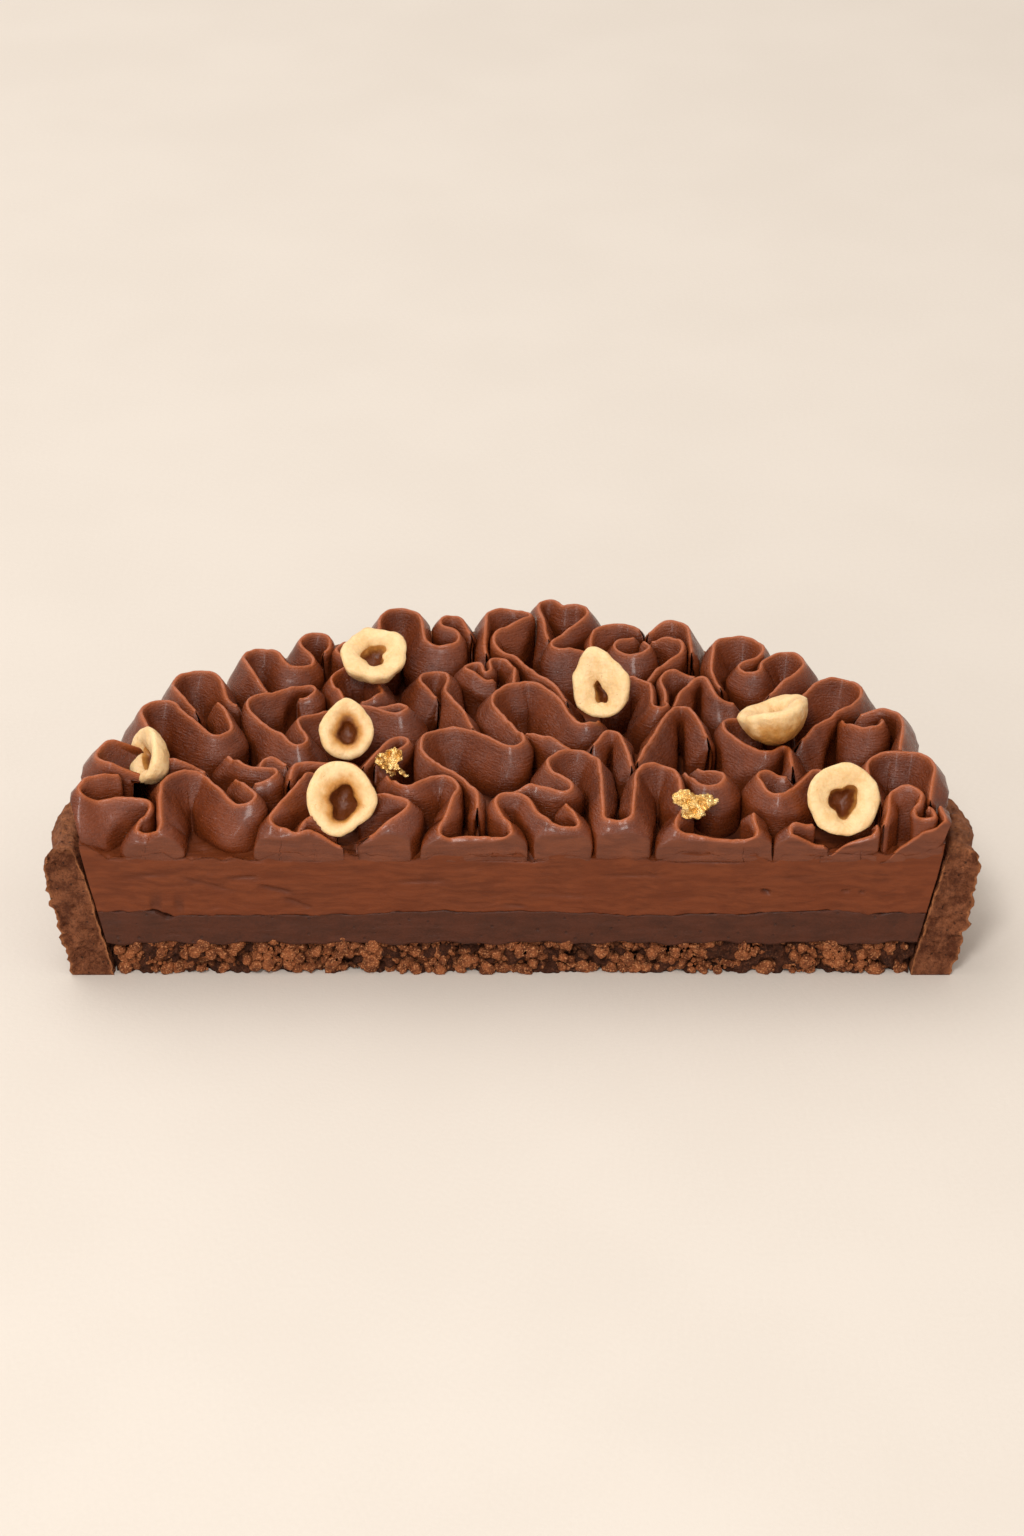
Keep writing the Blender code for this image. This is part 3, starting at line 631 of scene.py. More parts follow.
def make_crust(material):
    """The fluted wall, with its porous skin and the two ends that the knife left."""

    def place(share):
        around, across, up = share.T
        angle = math.pi * around
        flute = (1 - np.abs(np.cos((angle - math.pi / 2) * math.pi / FLUTE_PITCH))) ** 1.25
        waver = 0.35 * np.sin(7.3 * angle) + 0.25 * np.sin(17.9 * angle + 1)
        height = RIM_HEIGHT + waver * 0.6
        outer = FOOT_RADIUS - FLUTE_DEPTH_FOOT * flute
        outer += (RIM_RADIUS - FOOT_RADIUS - (FLUTE_DEPTH_RIM - FLUTE_DEPTH_FOOT) * flute) * up
        outer += 0.5 * np.sin(math.pi * up) - 1.1 * up**14
        inner = wall_inside(up * RIM_HEIGHT) + 0.5 * up**10
        shoulder = np.abs(2 * across - 1) ** 4 * np.where(across < 0.5, 2.4, 1.7)
        z = height * up - shoulder * up**9
        radius = outer + (inner - outer) * across
        return np.column_stack([radius * np.cos(angle), radius * np.sin(angle), z])

    ups = np.sort(np.concatenate([np.linspace(0, 1, 56), 1 - np.array([0.005, 0.012, 0.02])]))
    counts = (440, 20, ups)  # steps round, through and up the wall
    points, faces = block(counts, place)
    share = block(counts, lambda shares: shares)[0]
    rough = 0.30 * rumple(points, 2.6, 5, 3) + 0.26 * rumple(points, 0.9, 9, 2)
    outward = points * (1, 1, 0)
    outward /= np.maximum(np.linalg.norm(outward, axis=1), 1)[:, None]
    skin = np.where(share[:, 1] < 0.5, 1.0, -0.6) * np.abs(2 * share[:, 1] - 1)
    grown = points + outward * (rough * skin)[:, None]
    grown[:, 2] += 0.35 * rumple(points, 1.8, 21, 3) * share[:, 2] ** 4
    at_cut = np.abs(points[:, 1]) < 0.01
    teeth = 0.42 * rumple(points * (0, 0, 1), 1.0, 31, 1) * at_cut * (share[:, 1] < 0.08)
    grown += outward * teeth[:, None]
    inside_cut = at_cut * np.minimum(1, 8 * np.minimum(share[:, 1], 1 - share[:, 1])) * ease(share[:, 2] * 20)
    pits = 0.8 * np.clip(rumple(points, 1.6, 41, 3), 0, 1) + 0.22 * (1 + rumple(points, 0.8, 44, 2))
    grown[:, 1] += pits * inside_cut
    grown[:, 1] = np.maximum(grown[:, 1], 0)
    grown[:, 2] = np.maximum(grown[:, 2], 0)
    grown[share[:, 2] == 0, 2] = 0
    edge = np.maximum(np.abs(2 * share[:, 1] - 1) ** 6 * at_cut, 0.55 * share[:, 2] ** 10)
    edge = np.maximum(edge, 0.5 * at_cut * share[:, 2] ** 12)
    piece = make_piece("crust_wall_baked", grown, faces, material, weld=0.0005, values={"edge": edge},
        normals=True)
    return finish_piece(piece, "crust", "crust_wall")


def boundary(name, x):
    """Height along the cut of the line between two fillings."""
    if name == "crumb":
        return CRUMB_TOP + 0.35 * np.sin(0.31 * x) + 0.2 * np.sin(0.83 * x + 1)
    wavy = GANACHE_TOP + 0.45 * np.sin(0.075 * x + 2) + 0.3 * np.sin(0.21 * x)
    line = np.column_stack([x, 0 * x, 0 * x])
    wavy = wavy + 0.35 * rumple(line, 5.0, 51, 2) + 0.15 * rumple(line, 1.5, 53, 2)
    return wavy - 1.5 * np.exp(-(((x + 74.5) / 2.2) ** 2))


def layer_surface(name, x, y):
    """Height of the surface between two fillings."""
    if name != "cream":
        return boundary(name, x)
    edge = (np.hypot(x, y) - (wall_inside(RIM_HEIGHT) - CREAM_EDGE_WIDTH)) / CREAM_EDGE_WIDTH
    return CREAM_TOP + CREAM_EDGE_RISE * np.clip(edge, 0, 1)


def dents(x, z, marks):
    """Depth of narrow gouges at (x, z): each has a middle, half width, half height, depth and slope."""
    total = np.zeros(len(x))
    for middle, height, wide, tall, deep, slope in marks:
        across = (x - middle) / wide
        up = (z - height - slope * (x - middle)) / tall
        total += deep * np.exp(-np.abs(across) ** 4) * np.exp(-(up**2))
    return total


# Slits where the piping didn't quite join the cream below, drag marks of the knife, and pinholes.
CREAM_MARKS = [
    (-73.5, 30.2, 3.0, 0.35, 1.6, 0.0), (-43.5, 29.7, 6.0, 0.3, 1.3, 0.0),
    (-1.0, 29.6, 7.5, 0.34, 1.5, -0.02), (41.5, 29.3, 7.5, 0.4, 1.7, -0.02),
    (70.0, 30.3, 5.0, 0.25, 0.8, 0.02), (-57.5, 25.0, 3.4, 0.42, 0.55, 0.02),
    (-50.5, 22.0, 3.6, 0.45, 0.6, -0.25), (-66.0, 23.5, 5.0, 0.5, 0.4, -0.3),
    (-78.0, 25.5, 4.0, 0.5, 0.35, 0.1), (-46.0, 18.5, 3.0, 0.5, 0.5, -0.4),
    (-76.5, 18.5, 1.2, 2.2, 0.5, 0.3), (-71.5, 18.0, 1.0, 2.0, 0.45, -0.4),
    (54.4, 21.4, 0.9, 0.45, 0.9, -0.2), (71.5, 21.5, 1.0, 0.35, 0.5, 0.0),
    (75.0, 21.3, 0.6, 0.35, 0.5, 0.0), (-20.0, 24.0, 6.0, 0.5, 0.35, 0.05),
    (10.0, 20.5, 7.0, 0.55, 0.3, -0.05), (25.0, 25.5, 6.0, 0.5, 0.35, 0.03),
    (0.0, 17.8, 3.0, 0.5, 0.35, 0.0), (60.0, 25.0, 5.0, 0.45, 0.3, 0.04),
]


def make_filling(name, node_name, material, below, above, columns, front_rows, slot, seed, streak, feet=None):
    """A filling as sections side by side: up its front, back over the top, down the wall and home."""
    wide = wall_inside({"cream": RIM_HEIGHT, "ganache": GANACHE_TOP, "crumb": CRUMB_TOP}[above])
    turn = np.linspace(-1, 1, columns)
    spread = (0.62 * turn + 0.38 * np.sin(turn * math.pi / 2)) * 0.9995
    front = np.linspace(0, 1, front_rows)
    backs = np.linspace(0, 1, 74) ** 1.6 if above == "cream" else np.linspace(0, 1, 6)
    backs = backs[1:]
    home = np.linspace(1, 0, 4)[1:-1]
    ring = len(front) + len(backs) + len(home) + 1
    share_up = np.concatenate([front, np.ones(len(backs)), [0.0], np.zeros(len(home))])
    share_back = np.concatenate([np.zeros(len(front)), backs, [1.0], home])
    t, up = np.repeat(spread, ring), np.tile(share_up, columns)
    back = np.tile(share_back, columns)
    low = 0.0 * t if below == "floor" else boundary(below, t * wide) + 0.05
    deep = np.sqrt(np.maximum(1 - t * t, 0))
    top = layer_surface(above, t * wide, back * deep * wide) - (0 if above == "cream" else 0.05)
    z = low + (top - low) * up
    radius = wall_inside(z) - WALL_GAP - 0.15
    x, y = t * radius, back * deep * radius
    points = np.column_stack([x, y, z])
    at_front = (back == 0) * 1.0
    if above == "cream":
        left_corner = np.exp(-(((x + 92) / 7.5) ** 2) - (y / 9) ** 2)
        rise = 1.9 * left_corner + 0.35 * rumple(points * (1, 1, 0), 5.5, 71,
            3) * ease((wide - np.abs(x)) / 4)
        rise = rise + 0.35 * rumple(points * (1, 1, 0), 2.0, 74, 2) * np.exp(-((y / 1.5) ** 2))
        nearest = np.full(len(x), 1e9)
        for start in range(0, len(feet), 120):
            part = feet[start:start + 120]
            gap = np.hypot(x[:, None] - part[:, 0], y[:, None] - part[:, 1])
            nearest = np.minimum(nearest, gap.min(axis=1))
        rise = rise + 1.5 * np.exp(-np.clip(nearest - 1.6, 0, None) / 1.3)
        rise = rise - 0.9 * (1
            - np.exp(-np.clip(nearest - 3, 0, None) / 5)) * np.exp(-((np.minimum(y - 5, 0) / 3) ** 2))
        points[:, 2] += rise * up**6
    hollow = np.zeros(len(x))
    z = points[:, 2]
    face = np.column_stack([x / 9.0, y, z + 0.05 * x])
    relief = streak * (0.62 * rumple(face, (1.0, 9.0, 1.7), seed, 3) + 0.38
        * rumple(face, (0.35, 9.0, 0.7), seed + 5, 2))
    if above == "cream":
        hollow = dents(x, z, CREAM_MARKS)
        near_wall = ease((np.abs(x) - 82) / 12)
        relief = relief * (1 - 0.5 * near_wall)
    points[:, 1] += at_front * (relief + streak * 0.9 + hollow)
    points[:, 1] = np.maximum(points[:, 1], 0)
    if above == "cream":
        open_edge = np.exp(-(((top + rise - z) / 0.5) ** 2)) * at_front * (1 - np.exp(-nearest / 3))
        points[:, 1] += 0.3 * open_edge
    faces = grid_faces(columns, ring, closed=True)
    ends = (np.arange(ring), np.arange((columns - 1) * ring, columns * ring)[::-1])
    # The depth of each gouge is kept for the cut cream, which uses it for painted shade in the gouges.
    values = {"hollow": np.clip(hollow * 1.1, 0, 1)}
    piece = make_piece(name, points, faces, material, caps=ends, values=values, normals=True)
    return finish_piece(piece, slot, node_name)


# ---------------------------------------------------------------- crumb


def scatter_tree():
    """Crumbs strewn over a bed: each a lump turned and sized at random, then knocked out of round."""
    tree = bpy.data.node_groups.new("strewn_crumbs", "GeometryNodeTree")
    sockets = {}
    face = tree.interface
    sockets["Bed"] = face.new_socket("Bed", in_out="INPUT", socket_type="NodeSocketGeometry")
    for key in ("Spacing", "Smallest", "Largest", "Knock", "Knock size"):
        sockets[key] = face.new_socket(key, in_out="INPUT", socket_type="NodeSocketFloat")
    for key in ("Seed", "Facets"):
        sockets[key] = face.new_socket(key, in_out="INPUT", socket_type="NodeSocketInt")
    sockets["Material"] = face.new_socket("Material", in_out="INPUT", socket_type="NodeSocketMaterial")
    face.new_socket("Crumbs", in_out="OUTPUT", socket_type="NodeSocketGeometry")
    given, out = tree.nodes.new("NodeGroupInput"), tree.nodes.new("NodeGroupOutput")
    g = given.outputs
    strewn = node(tree, "GeometryNodeDistributePointsOnFaces",
        {"Mesh": g["Bed"], "Distance Min": g["Spacing"],
                  "Density Max": 3.0e6, "Seed": g["Seed"]}, distribute_method="POISSON")
    lump = node(tree, "GeometryNodeMeshIcoSphere", {"Radius": 1.0, "Subdivisions": g["Facets"]})
    turn = node(tree, "FunctionNodeRandomValue",
        {"Min": (0, 0, 0), "Max": (6.28, 6.28, 6.28), "Seed": g["Seed"]},
                data_type="FLOAT_VECTOR")
    squat = node(tree, "FunctionNodeRandomValue",
        {"Min": (0.65, 0.65, 0.65), "Max": (1.25, 1.25, 1.25), "Seed": 3},
                 data_type="FLOAT_VECTOR")
    size = node(tree, "FunctionNodeRandomValue", data_type="FLOAT")
    tree.links.new(g["Smallest"], size.inputs[2])
    tree.links.new(g["Largest"], size.inputs[3])
    size.inputs["Seed"].default_value = 8
    scale = node(tree, "ShaderNodeVectorMath", {0: squat.outputs[0], "Scale": size.outputs[1]},
        operation="SCALE")
    placed = node(tree, "GeometryNodeInstanceOnPoints", {"Points": strewn.outputs["Points"],
                  "Instance": lump.outputs["Mesh"], "Rotation": turn.outputs[0], "Scale": scale.outputs[0]})
    real = node(tree, "GeometryNodeRealizeInstances", {"Geometry": placed.outputs[0]})
    where = node(tree, "GeometryNodeInputPosition")
    frequency = node(tree, "ShaderNodeMath", {0: 1.0, 1: g["Knock size"]}, operation="DIVIDE")
    lumps = node(tree, "ShaderNodeTexNoise",
        {"Vector": where.outputs[0], "Scale": frequency.outputs[0], "Detail": 2.0})
    middle = node(tree, "ShaderNodeVectorMath", {0: lumps.outputs["Color"], 1: (0.5, 0.5, 0.5)},
        operation="SUBTRACT")
    knock = node(tree, "ShaderNodeVectorMath", {0: middle.outputs[0], "Scale": g["Knock"]}, operation="SCALE")
    moved = node(tree, "GeometryNodeSetPosition", {"Geometry": real.outputs[0], "Offset": knock.outputs[0]})
    smooth = node(tree, "GeometryNodeSetShadeSmooth", {"Geometry": moved.outputs[0]})
    painted = node(tree, "GeometryNodeSetMaterial",
        {"Geometry": smooth.outputs[0], "Material": g["Material"]})
    tree.links.new(painted.outputs[0], out.inputs["Crumbs"])
    return tree, {key: socket.identifier for key, socket in sockets.items()}


def strew(name, bed, tree, ids, material, **numbers):
    """The crumbs of one size over a bed, as a plain mesh."""
    modifier = bed.modifiers.new("crumbs", "NODES")
    modifier.node_group = tree
    modifier[ids["Material"]] = material
    for key, value in numbers.items():
        modifier[ids[key.replace("_", " ")]] = value
    bpy.context.view_layer.update()
    mesh = realised(bed)
    bed.modifiers.remove(modifier)
    mesh.name = name
    points = points_of(mesh)
    points[:, 1] = np.maximum(points[:, 1], (CUT + 0.02) * MM)
    points[:, 2] = np.maximum(points[:, 2], 0.05 * MM)
    mesh.vertices.foreach_set("co", points.ravel())
    if not mesh.materials:
        mesh.materials.append(material)
    return add_object(name, mesh)


def make_bed(depth, seed):
    """The uneven sheet just behind the cut that crumbs are strewn on."""
    x, z = np.meshgrid(np.linspace(-86.6, 86.6, 240), np.linspace(0.7, 1.0, 14), indexing="ij")
    z = 0.7 + (z - 0.7) / 0.3 * (boundary("crumb", x.ravel()).reshape(x.shape) - 1.0)
    flat = np.column_stack([x.ravel(), 0 * x.ravel(), z.ravel()])
    flat[:, 0] *= (wall_inside(flat[:, 2]) - 0.9) / wall_inside(CRUMB_TOP)
    flat[:, 1] = depth + 1.5 * rumple(flat, 2.8, seed, 2)
    flat[:, 1] = np.maximum(flat[:, 1], 0.7)
    return make_piece("crumb_bed", flat, grid_faces(240, 14), CRUMB)


def make_crumb_layer():
    # The heart behind the crumbs wears the darker copy of the crumb, as painted shade in the gaps.
    core = make_filling("crumb_layer_heart", "crumb_base", CRUMB_PAINTED_SHADE, "floor", "crumb", 420, 22, "crumb", 81,
        0.1)
    mesh = core.data
    points = points_of(mesh) / MM - (0, CUT, 0)
    front = points[:, 1] < 1.2
    relief = 2.0 + 1.3 * rumple(points, 2.4, 85, 2) + 0.5 * rumple(points, 0.9, 88, 1)
    points[front, 1] = np.maximum(relief[front], 0.6)
    mesh.vertices.foreach_set("co", ((points + (0, CUT, 0)) * MM).ravel())
    mesh.update()
    tree, ids = scatter_tree()
    bed = make_bed(1.9, 61)
    large = strew("crumbs_large", bed, tree, ids, CRUMB, Spacing=2.3 * MM, Smallest=0.8 * MM,
        Largest=1.9 * MM,
                  Knock=1.9 * MM, Knock_size=1.6 * MM, Seed=4, Facets=3)
    fine = strew("crumbs_fine", bed, tree, ids, CRUMB, Spacing=0.85 * MM, Smallest=0.25 * MM,
        Largest=0.8 * MM,
                 Knock=0.7 * MM, Knock_size=0.8 * MM, Seed=9, Facets=2)
    bpy.data.objects.remove(bed)
    finish_piece(large, "crumb")
    finish_piece(fine, "crumb")


# ---------------------------------------------------------------- piped ribbons


def wrap_folds(folds):
    """A stroke's route round its folds, like a belt over pulleys: straight runs joined by arcs."""
    headings = []
    for (x0, y0, r0), (x1, y1, r1) in zip(folds, folds[1:]):
        swing = math.asin(max(-1, min(1, (r0 - r1) / math.hypot(x1 - x0, y1 - y0))))
        headings.append(math.atan2(y1 - y0, x1 - x0) + swing)
    route = [folds[0][:2]]
    for (x, y, radius), arriving, leaving in zip(folds[1:-1], headings, headings[1:]):
        turn = (leaving - arriving) % math.tau if radius > 0 else -((arriving - leaving) % math.tau)
        steps = max(1, math.ceil(abs(turn * radius) / ROUTE_STEP * 2)) if radius else 1
        for step in range(steps + 1):
            heading = arriving + turn * step / steps
            route.append((x + radius * math.sin(heading), y - radius * math.cos(heading)))
    route.append(folds[-1][:2])
    return np.array(route, float)


def even_steps(route, step):
    """The same route with points about one step apart."""
    lengths = np.concatenate([[0], np.cumsum(np.hypot(*np.diff(route, axis=0).T))])
    stops = np.linspace(0, lengths[-1], max(4, round(lengths[-1] / step) + 1))
    return np.column_stack([np.interp(stops, lengths, route[:, axis]) for axis in range(route.shape[1])])


def softened(route, spread):
    """The route averaged along its length over a bell of the given spread, in steps."""
    route = route.reshape(len(route), -1)
    reach = max(1, math.ceil(spread * 2.5))
    bell = np.exp(-0.5 * (np.arange(-reach, reach + 1) / spread) ** 2)
    bell /= bell.sum()
    padded = np.pad(route, ((reach, reach), (0, 0)), mode="edge")
    return np.column_stack([np.convolve(column, bell, mode="valid") for column in padded.T])


def finer(route):
    """A smooth curve through the route's points, with FINER_BY points for each step."""
    route = route.reshape(len(route), -1)
    held = np.vstack([2 * route[0] - route[1], route, 2 * route[-1] - route[-2]])
    a, b, c, d = (held[start:len(held) - 3 + start, None] for start in range(4))
    t = (np.arange(FINER_BY) / FINER_BY)[None, :, None]
    curve = 0.5 * (2 * b + (c - a) * t + (2 * a - 5 * b + 4 * c - d) * t**2 + (3 * b - a - 3 * c + d) * t**3)
    return np.vstack([curve.reshape(-1, route.shape[1]), route[-1]])


def stand_on_tart(plan):
    """Where each point of a route stands, and its lip's height: higher by the rim, slumped near the cut."""
    x, y = plan.T
    rise = EDGE_RISE * ease((np.hypot(x, y) - EDGE_RISE_FROM) / EDGE_RISE_OVER)
    raised = y - rise / SLUMP_SLOPE
    back = SLUMP_REACH * np.log1p(np.exp(raised / SLUMP_REACH))
    back += CORNER_SETBACK * np.exp(-(((x - CORNER_AT) / CORNER_WIDTH) ** 2)) * (1 - ease(y / CORNER_DEPTH))
    lip = LIP_HEIGHT + rise - (back - raised) * SLUMP_SLOPE
    return np.column_stack([x, back, lip])


def pair_gaps(routes, nearest):
    """For every point: the distance and offset to the points of every wall that passes it."""
    places = np.concatenate(routes)
    stroke = np.concatenate([np.full(len(route), number) for number, route in enumerate(routes)])
    along = np.arange(len(places)) * ROUTE_STEP
    offset = places[:, None] - places[None]
    distance = np.hypot(offset[..., 0], offset[..., 1])
    same = stroke[:, None] == stroke[None]
    beside = same & (np.abs(along[:, None] - along[None]) < np.maximum(1.45 * distance, 2.2 * nearest))
    distance[beside] = np.inf
    return distance, offset


def keep_apart(routes, nearest, rounds=40):
    """Routes moved sideways until no wall passes another closer than the given distance."""
    routes = [route.copy() for route in routes]
    sizes = np.cumsum([len(route) for route in routes])[:-1]
    for _ in range(rounds):
        distance, offset = pair_gaps(routes, nearest)
        short = np.clip(nearest - distance, 0, None)
        if short.max() < 0.02:
            break
        pull = short / np.maximum(distance, 0.05)
        worst = short.max(axis=1)
        push = (offset * pull[..., None]).sum(axis=1) / np.maximum((short > 0).sum(axis=1), 1)[:, None]
        push[worst == 0] = 0
        for route, shift in zip(routes, np.split(push, sizes)):
            route += softened(shift * 0.9, 0.7)
    return routes


def sideways(route):
    """Unit vectors to the left of a route, and how sharply it bends to the left, per millimetre."""
    along = np.gradient(route, axis=0)
    length = np.maximum(np.hypot(*along.T), 1e-6)
    along /= length[:, None]
    left = np.column_stack([-along[:, 1], along[:, 0]])
    bend = (np.gradient(along, axis=0) * left).sum(axis=1) / length
    return left, bend


def side_rooms(routes):
    """How far a wall may thicken to its left and to its right before it meets the next one halfway."""
    places = np.concatenate(routes)
    left = np.concatenate([sideways(route)[0] for route in routes])
    stroke = np.concatenate([np.full(len(route), number) for number, route in enumerate(routes)])
    order = np.arange(len(places))
    offset = places[None] - places[:, None]
    square = (offset**2).sum(axis=-1)
    across = (offset * left[:, None]).sum(axis=-1)
    near = (stroke[:, None] == stroke[None]) & (np.abs(order[:, None] - order[None]) <= 2)
    sizes = np.cumsum([len(route) for route in routes])[:-1]
    rooms = []
    for side in (1, -1):
        lean = across * side
        reach = np.where((lean > 0.05) & ~near, square / (2 * np.maximum(lean, 1e-6)),
            MOST_HALF_WALL).min(axis=1)
        parts = []
        for part in np.split(np.minimum(reach, MOST_HALF_WALL), sizes):
            held = np.pad(part, 1, mode="edge")
            parts.append(softened(np.minimum(np.minimum(held[:-2], held[2:]), part), 0.9)[:, 0])
        rooms.append(parts)
    return rooms


def nut_frame(placing):
    """Middle and axes of a hazelnut half: across, along its length, and out of its cut face."""
    middle, normal, _, _, _, _, turn = placing
    up = Vector(normal).normalized()
    across = Vector((0, 1, 0)).cross(up).normalized() if abs(up.y) < 0.95 else Vector((1, 0, 0))
    axes = Matrix((across, up.cross(across), up)).transposed() @ Matrix.Rotation(math.radians(turn), 3, "Z")
    return np.array(middle), np.array(axes)


def press_under_nuts(points):
    """Points that a hazelnut sits on, pushed down behind its round back."""
    for placing in HAZELNUTS:
        middle, axes = nut_frame(placing)
        _, _, width, length, depth, _, _ = placing
        local = (points - middle) @ axes
        out = (local[:, 0] / (width - 0.3)) ** 2 + (local[:, 1] / (length - 0.3)) ** 2
        back = -depth * 0.8 * np.sqrt(np.clip(1 - out, 0, 1))
        pressed = (out < 1) & (local[:, 2] > back) & (local[:, 2] < PRESSED_BELOW)
        local[pressed, 2] = back[pressed]
        points = np.where(pressed[:, None], middle + local @ axes.T, points)
    return points


def settle_ribbons():
    """Every ribbon's route and room to each side at each level, and the heights of the lips."""
    standing = [stand_on_tart(softened(even_steps(wrap_folds(folds), ROUTE_STEP), 0.8)) for folds in STROKES]
    lips = [route[:, 2] for route in standing]
    plans = keep_apart([route[:, :2] for route in standing], NEAREST_ROUTES)
    axes = [softened(plan, FOLD_AXIS_SPREAD / ROUTE_STEP) for plan in plans]
    levels = []
    for level in LEVELS:
        spread = FOOT_SPREAD + SPREAD_RISE * level + SPREAD_BEND * level**2
        routes = []
        for plan, axis in zip(plans, axes):
            upright = 1 - ease(plan[:, 1:] / UPRIGHT_NEAR_CUT)
            own = spread + (1 - spread) * upright
            routes.append(axis + (plan - axis) * own)
        routes = keep_apart(routes, NEAREST_ROUTES)
        levels.append((routes, *side_rooms(routes)))
    return levels, lips


def level_weights(height):
    """How much of each level's route makes the route at a height, on one smooth curve through them all."""
    weights = []
    for level in LEVELS:
        others = [other for other in LEVELS if other != level]
        weights.append(np.prod([(height - other) / (level - other) for other in others]))
    return weights


def with_round_ends(centre, left, on_left, on_right, top):
    """The stations of a wall, with a few more beyond each end that round it off in plan."""
    turns = np.radians(END_TURNS)
    parts = [(centre, left, on_left, on_right, top)]
    for end, inward in ((0, 1), (-1, -2)):
        out = centre[end] - centre[inward]
        out = out / max(np.hypot(*out), 1e-6)
        reach = min(on_left[end], on_right[end], MOST_ROUND_END)
        swept = turns if end == 0 else turns[::-1]
        more = centre[end] + out * (reach * np.sin(swept))[:, None]
        same = np.ones(len(turns))
        narrow = np.cos(swept)
        extra = (more, left[end] * same[:, None], on_left[end] * narrow, on_right[end] * narrow,
            top[end] * same)
        parts = [extra, *parts] if end == 0 else [*parts, extra]
    return [np.concatenate(column) for column in zip(*parts)]


def held_in_crust(points):
    """Points kept inside the crust below its rim, and no further out than the rim above it."""
    radius = np.hypot(points[:, 0], points[:, 1])
    most = np.interp(points[:, 2], HELD_AT, HELD_RADIUS)
    scale = np.minimum(1, most / np.maximum(radius, 1))
    return points * np.column_stack([scale, scale, np.ones(len(points))])


def make_ribbon(number, levels, lip, material):
    """One piped ribbon: a wall with a thin rounded lip, swelling downwards until it meets the next wall."""
    routes = [finer(level[0][number]) for level in levels]
    rooms = [[np.clip(finer(level[side][number])[:, 0], 0,
        MOST_HALF_WALL) for level in levels] for side in (1, 2)]
    top = finer(lip)[:, 0]
    along = np.concatenate([[0], np.cumsum(np.hypot(*np.diff(routes[-1], axis=0).T))])
    from_end = np.minimum(along, along[-1] - along)
    place = np.column_stack([routes[-1], 0 * top])
    top = top - 0.5 + 0.38 * rumple(place, 6.0, 101, 2) + 0.16 * rumple(place, 1.9, 104, 2)
    top = top - 1.3 * (1 - ease(from_end / 4.5))
    lefts, rights = [], []
    heights = 1 - (1 - np.linspace(0, 1, RINGS)) ** 1.25
    for height in heights:
        weights = level_weights(height)
        centre = sum(weight * route for weight, route in zip(weights, routes))
        centre[:, 1] = np.maximum(centre[:, 1], NEAREST_TO_CUT)
        wall = np.interp(height, WALL_AT, HALF_WALL)
        left, _ = sideways(centre)
        halves = []
        for side in rooms:
            room = np.array([np.interp(height, LEVELS, gaps) for gaps in zip(*side)])
            half = np.clip(0.97 * room - AIR_BETWEEN_RIBBONS / 2, THINNEST_HALF_WALL, wall)
            halves.append(softened(half, 1.6)[:, 0])
        centre, left, on_left, on_right, rim = with_round_ends(centre, left, *halves, top)
        foot = layer_surface("cream", *centre.T) - FOOT_SUNK
        z = foot + (rim - foot) * height
        lefts.append(np.column_stack([centre + left * on_left[:, None], z]))
        rights.append(np.column_stack([centre - left * on_right[:, None], z]))
    cap = []
    for share, lift in ((0.72, 0.62), (0.0, 0.9), (-0.72, 0.62)):
        edge = lefts[-1] if share > 0 else rights[-1]
        middle = (lefts[-1] + rights[-1]) / 2
        point = middle + (edge - middle) * abs(share)
        thick = np.hypot(*(lefts[-1] - rights[-1])[:, :2].T) / 2
        point[:, 2] += thick * lift
        cap.append(point)
    ring = lefts + cap + rights[::-1]
    size, count = len(ring), len(lefts[-1])
    points = np.stack(ring, axis=1).reshape(-1, 3)
    full = np.concatenate([heights, [1.02, 1.04, 1.02], heights[::-1]])
    free = np.tile(ease(full * 3), count)[:, None]
    points = points + (shaken(points, 7.0, 0.28, 120 + 3 * number, 2) - points) * free
    points = points + (shaken(points, 1.6, 0.05, 140, 1) - points) * free
    points = held_in_crust(press_under_nuts(points))
    cut_relief = 0.14 * (1 + rumple(points * (0.2, 1, 1), (1.2, 9.0, 1.2), 151, 2))
    tucked = 0.3 * (1 - ease(np.tile(full, count) * 7))
    flush = 0.02 + cut_relief + tucked
    at_cut = np.clip(1 - (points[:, 1] - flush) / 0.3, 0, 1)
    points[:, 1] = np.maximum(points[:, 1], flush)
    faces = grid_faces(count, size, closed=True)
    caps = (np.arange(size), np.arange((count - 1) * size, count * size)[::-1])
    # lip marks the top of the wall, where the piped cream paints its highlight.
    values = {"lip": np.tile(np.clip((full - 0.94) / 0.08, 0, 1) ** 1.5, count), "cut": at_cut}
    beyond = np.arange(1, len(END_TURNS) + 1) * 0.5
    run = np.concatenate([-beyond[::-1], along, along[-1] + beyond])
    uv = np.column_stack([np.repeat(run, size) + 37.0 * number, points[:, 2]])
    name = f"piped_ribbon_{number + 1:02d}"
    piece = make_piece(name, points, faces, material, caps=caps, values=values, uv=uv)
    return finish_piece(piece, "cream", f"ribbon_{number + 1:02d}")


# ---------------------------------------------------------------- hazelnuts and gold leaf


def polar_lobes(angle, corners, sharpness, turn):
    """1 with smooth corners standing out of it."""
    first = np.cos(corners * (angle - math.radians(turn)))
    second = np.cos((corners + 2) * (angle + math.radians(1.7 * turn)))
    return 1 + sharpness * (0.75 * first + 0.45 * second)


